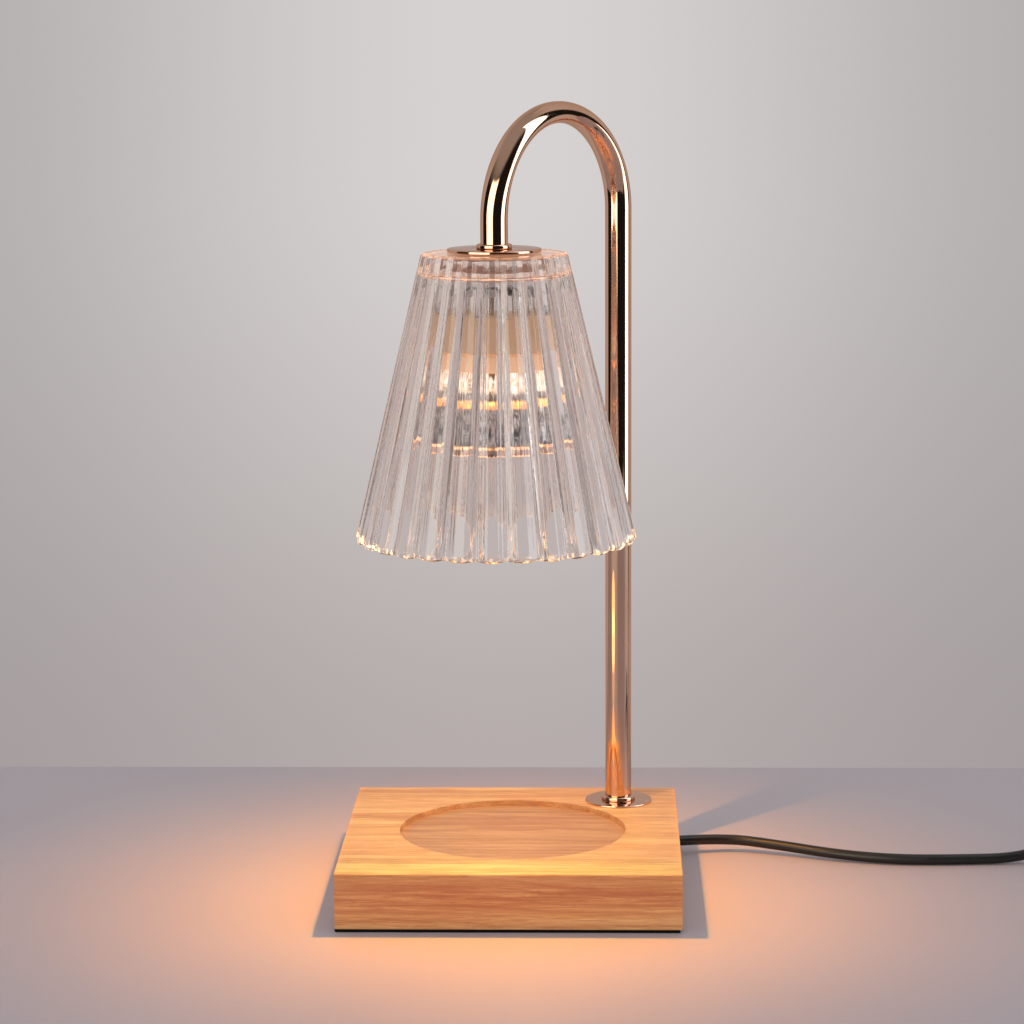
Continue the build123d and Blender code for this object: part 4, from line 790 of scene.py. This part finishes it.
# front glass with a faint ring pattern
front = [(0, 202.3), (4, 202.33), (8, 202.42), (11.5, 202.5), (12, 202.58), (15.5, 202.66), (16, 202.75), (19.5, 202.86), (20, 202.95), (22.6, 203.12), (23.3, 203.3), (23.5, 203.7), (23.5, 204.6), (23.2, 205.0), (12, 205.0), (0, 205.0)]
points, faces = lathe(front, shade, 96, closed=False)
mesh_object("lamp_front_glass", points, faces, lamp_glass, sharp=40, nodes=("bulb_lens",), body="bulb")

# ---------------------------------------------------------------- stage

f = Finish("table_top", Roughness=0.55, Specular_IOR_Level=0.25)
f.colour(f.ramp(f.noise(5.0, 3.0, 0.5), (0.3, (0.385, 0.345, 0.365)), (0.7, (0.405, 0.365, 0.385))))
f.bump(f.noise(900.0, 3.0, 0.6), 0.05, 0.0002)
table_finish = f.material

bm = bmesh.new()
bmesh.ops.create_cube(bm, size=1.0)
x0, x1, y0, y1 = -0.95, 0.95, -0.85, 0.2205
for v in bm.verts:
    v.co = Vector((x0 + (v.co.x + 0.5) * (x1 - x0), y0 + (v.co.y + 0.5) * (y1 - y0), -0.02 + (v.co.z + 0.5) * 0.02))
bmesh.ops.bevel(bm, geom=bm.edges[:], offset=0.002, segments=3, affect="EDGES", profile=0.5)
me = bpy.data.meshes.new("table")
bm.to_mesh(me)
bm.free()
me.shade_smooth()
me.set_sharp_from_angle(angle=math.radians(30))
me.materials.append(table_finish)
table = bpy.data.objects.new("table", me)
scene.collection.objects.link(table)

# ---------------------------------------------------------------- surroundings

world = bpy.data.worlds.new("studio")
scene.world = world
world.use_nodes = True
tree = world.node_tree
tree.nodes.clear()


def wn(kind, props=None, **values):
    n = tree.nodes.new(kind)
    for key, value in (props or {}).items():
        setattr(n, key, value)
    for key, value in values.items():
        n.inputs[key.replace("_", " ")].default_value = value
    return n


def wmath(kind, a, b=None, c=None):
    n = wn("ShaderNodeMath", {"operation": kind})
    for i, x in enumerate((a, b, c)):
        if x is None:
            continue
        if isinstance(x, (int, float)):
            n.inputs[i].default_value = x
        else:
            tree.links.new(x, n.inputs[i])
    return n.outputs[0]


def wspan(value, a, b, c=0.0, d=1.0, smooth=True):
    n = wn("ShaderNodeMapRange", {"interpolation_type": "SMOOTHSTEP" if smooth else "LINEAR"})
    for i, x in enumerate((a, b, c, d)):
        n.inputs[i + 1].default_value = x
    tree.links.new(value, n.inputs["Value"])
    return n.outputs["Result"]


def wmix(fac, a, b, kind="MIX"):
    n = wn("ShaderNodeMix", {"data_type": "RGBA", "blend_type": kind})
    for socket, x in ((n.inputs[0], fac), (n.inputs[6], a), (n.inputs[7], b)):
        if isinstance(x, (int, float)):
            socket.default_value = x
        elif isinstance(x, tuple):
            socket.default_value = (*x, 1)
        else:
            tree.links.new(x, socket)
    return n.outputs[2]


way = wn("ShaderNodeTexCoord").outputs["Generated"]
split = wn("ShaderNodeSeparateXYZ")
tree.links.new(way, split.inputs[0])
wx, wy, wz = split.outputs
azimuth = wmath("MULTIPLY", wmath("ARCTAN2", wx, wmath("MULTIPLY", wy, -1.0)), 180 / math.pi)  # 0 towards -Y, 90 towards +X
height = wmath("MULTIPLY", wmath("ARCSINE", wz), 180 / math.pi)


def strip(left, right, low, high, soft=1.5, soft_v=4.0):
    """1 inside a panel of the studio given by its azimuths and heights in degrees."""
    a = wmath("MULTIPLY", wspan(azimuth, left - soft, left + soft), wspan(azimuth, right - soft, right + soft, 1.0, 0.0))
    b = wmath("MULTIPLY", wspan(height, low - soft_v, low + soft_v), wspan(height, high - soft_v, high + soft_v, 1.0, 0.0))
    return wmath("MULTIPLY", a, b)


# what the camera sees behind the table: a pale wall, a little brighter in the middle and higher up
side = wmath("MULTIPLY", wmath("ARCTAN2", wx, wy), 180 / math.pi)
side = wmath("ABSOLUTE", wmath("ADD", side, 1.8))
middle = wspan(side, 0.0, 11.2, 1.0, 0.0)
low_tone = wmix(middle, (0.375, 0.338, 0.338), (0.462, 0.415, 0.408))
high_tone = wmix(middle, (0.452, 0.425, 0.425), (0.675, 0.645, 0.638))
wall = wmix(wspan(height, -14.5, -3.0), low_tone, high_tone)

# what polished and clear parts see: the same wall behind, a dark room in front, a bright strip at the right, a soft panel at the left
facing = wmath("ABSOLUTE", wmath("ADD", azimuth, -5.0))
behind = wspan(facing, 103.0, 108.0)
room = wmix(behind, (0.012, 0.011, 0.011), (0.53, 0.49, 0.485))
ceiling = wspan(wmath("ADD", height, wmath("MULTIPLY", wspan(azimuth, -30.0, 40.0), -26.0)), 26.0, 52.0)
room = wmix(ceiling, room, (0.34, 0.325, 0.32))
room = wmix(strip(64.0, 97.0, -60.0, 88.0, 1.0), room, (2.8, 2.95, 3.05))
room = wmix(strip(-62.0, -10.0, -40.0, 36.0, 2.0, 3.0), room, (3.0, 2.9, 2.5))
# clear parts bend the view less far than it seems here, so they see the same room with its contrast taken down
glassy = wmix(behind, (0.37, 0.32, 0.31), (0.54, 0.50, 0.495))
glassy = wmix(strip(52.0, 88.0, -60.0, 84.0), glassy, (1.1, 1.08, 1.05))

shine = wn("ShaderNodeLightPath")
ambient = wmix(wspan(height, -20.0, 60.0), (0.42, 0.41, 0.43), (0.95, 0.94, 0.97))
colour = wmix(shine.outputs["Is Glossy Ray"], ambient, room)
colour = wmix(shine.outputs["Is Transmission Ray"], colour, glassy)
colour = wmix(shine.outputs["Is Camera Ray"], colour, wall)
background = wn("ShaderNodeBackground", Strength=1.0)
tree.links.new(colour, background.inputs["Color"])
world_out = wn("ShaderNodeOutputWorld")
tree.links.new(background.outputs[0], world_out.inputs[0])

# ---------------------------------------------------------------- lights


def lamp(name, kind, place, power, colour, **values):
    data = bpy.data.lights.new(name, kind)
    data.energy = power
    data.color = colour
    for key, value in values.items():
        setattr(data, key, value)
    o = bpy.data.objects.new(name, data)
    o.location = [c / 1000 for c in place]
    scene.collection.objects.link(o)
    return o


beam = lamp("beam", "SPOT", (-6, -21, 221), 6.0, (1, 1, 1), spot_size=math.radians(112), spot_blend=1.0, shadow_soft_size=0.002)
# the warm pool lies round the base, and the base itself gets a softer, yellower share of it
beam.data.use_nodes = True
lt = beam.data.node_tree
lt.nodes.clear()


def lmath(kind, a, b=None):
    n = lt.nodes.new("ShaderNodeMath")
    n.operation = kind
    for i, x in enumerate((a, b)):
        if isinstance(x, (int, float)):
            n.inputs[i].default_value = x
        elif x is not None:
            lt.links.new(x, n.inputs[i])
    return n.outputs[0]


def lspan(value, a, b, c, d):
    n = lt.nodes.new("ShaderNodeMapRange")
    n.interpolation_type = "SMOOTHSTEP"
    for i, x in enumerate((a, b, c, d)):
        n.inputs[i + 1].default_value = x
    lt.links.new(value, n.inputs["Value"])
    return n.outputs["Result"]


l_way = lt.nodes.new("ShaderNodeTexCoord")
l_split = lt.nodes.new("ShaderNodeSeparateXYZ")
lt.links.new(l_way.outputs["Normal"], l_split.inputs[0])
l_drop = lmath("MAXIMUM", lmath("ABSOLUTE", l_split.outputs[2]), 0.05)
# where the ray meets the height of the base's top, in metres
hit_x = lmath("ADD", lmath("MULTIPLY", lmath("DIVIDE", l_split.outputs[0], l_drop), 0.195), -0.006)
hit_y = lmath("ADD", lmath("MULTIPLY", lmath("DIVIDE", l_split.outputs[1], l_drop), 0.195), -0.021)
out_x = lmath("ABSOLUTE", hit_x)
out_y = lmath("ABSOLUTE", hit_y)
outside = lspan(lmath("MAXIMUM", out_x, out_y), 0.0745, 0.0760, 0.0, 1.0)
from_seat = lmath("POWER", lmath("ADD", lmath("MULTIPLY", hit_x, hit_x), lmath("MULTIPLY", hit_y, hit_y)), 0.5)
seat_share = lspan(from_seat, 0.0485, 0.0520, 0.12, 1.0)
front = lspan(hit_y, -0.075, -0.045, 1.0, 0.0)
on_base = lt.nodes.new("ShaderNodeMix")
on_base.data_type = "RGBA"
lt.links.new(front, on_base.inputs[0])
on_base.inputs[6].default_value = (0.160, 0.124, 0.031, 1)
on_base.inputs[7].default_value = (0.22, 0.345, 0.045, 1)
l_mix = lt.nodes.new("ShaderNodeMix")
l_mix.data_type = "RGBA"
lt.links.new(outside, l_mix.inputs[0])
l_seat = lt.nodes.new("ShaderNodeMix")
l_seat.data_type = "RGBA"
l_seat.blend_type = "MULTIPLY"
l_seat.inputs[0].default_value = 1.0
lt.links.new(on_base.outputs[2], l_seat.inputs[6])
lt.links.new(seat_share, l_seat.inputs[7])
lt.links.new(l_seat.outputs[2], l_mix.inputs[6])
l_mix.inputs[7].default_value = (1.0, 0.37, 0.03, 1)
l_emit = lt.nodes.new("ShaderNodeEmission")
lt.links.new(l_mix.outputs[2], l_emit.inputs["Color"])
l_out = lt.nodes.new("ShaderNodeOutputLight")
lt.links.new(l_emit.outputs[0], l_out.inputs[0])
# a soft glow over the seat, where the candle burns; three more are seen only as the streak it makes in the polished tube
glows = (
    ("seat_glow", 90, 0.016, 0.020, (1.0, 0.66, 0.25), True),
    ("streak_top", 108, 0.017, 0.016, (1.0, 0.74, 0.22), False),
    ("streak_middle", 72, 0.014, 0.0038, (1.0, 0.50, 0.20), False),
    ("streak_low", 44, 0.015, 0.0065, (1.0, 0.46, 0.10), False),
)
for name, z, size, power, colour, lights_all in glows:
    glow = lamp(name, "POINT", (0, 0, z), power, colour, shadow_soft_size=size)
    glow.visible_transmission = False
    glow.visible_camera = False
    glow.visible_diffuse = lights_all

scene.view_settings.view_transform = "Standard"
scene.view_settings.look = "None"
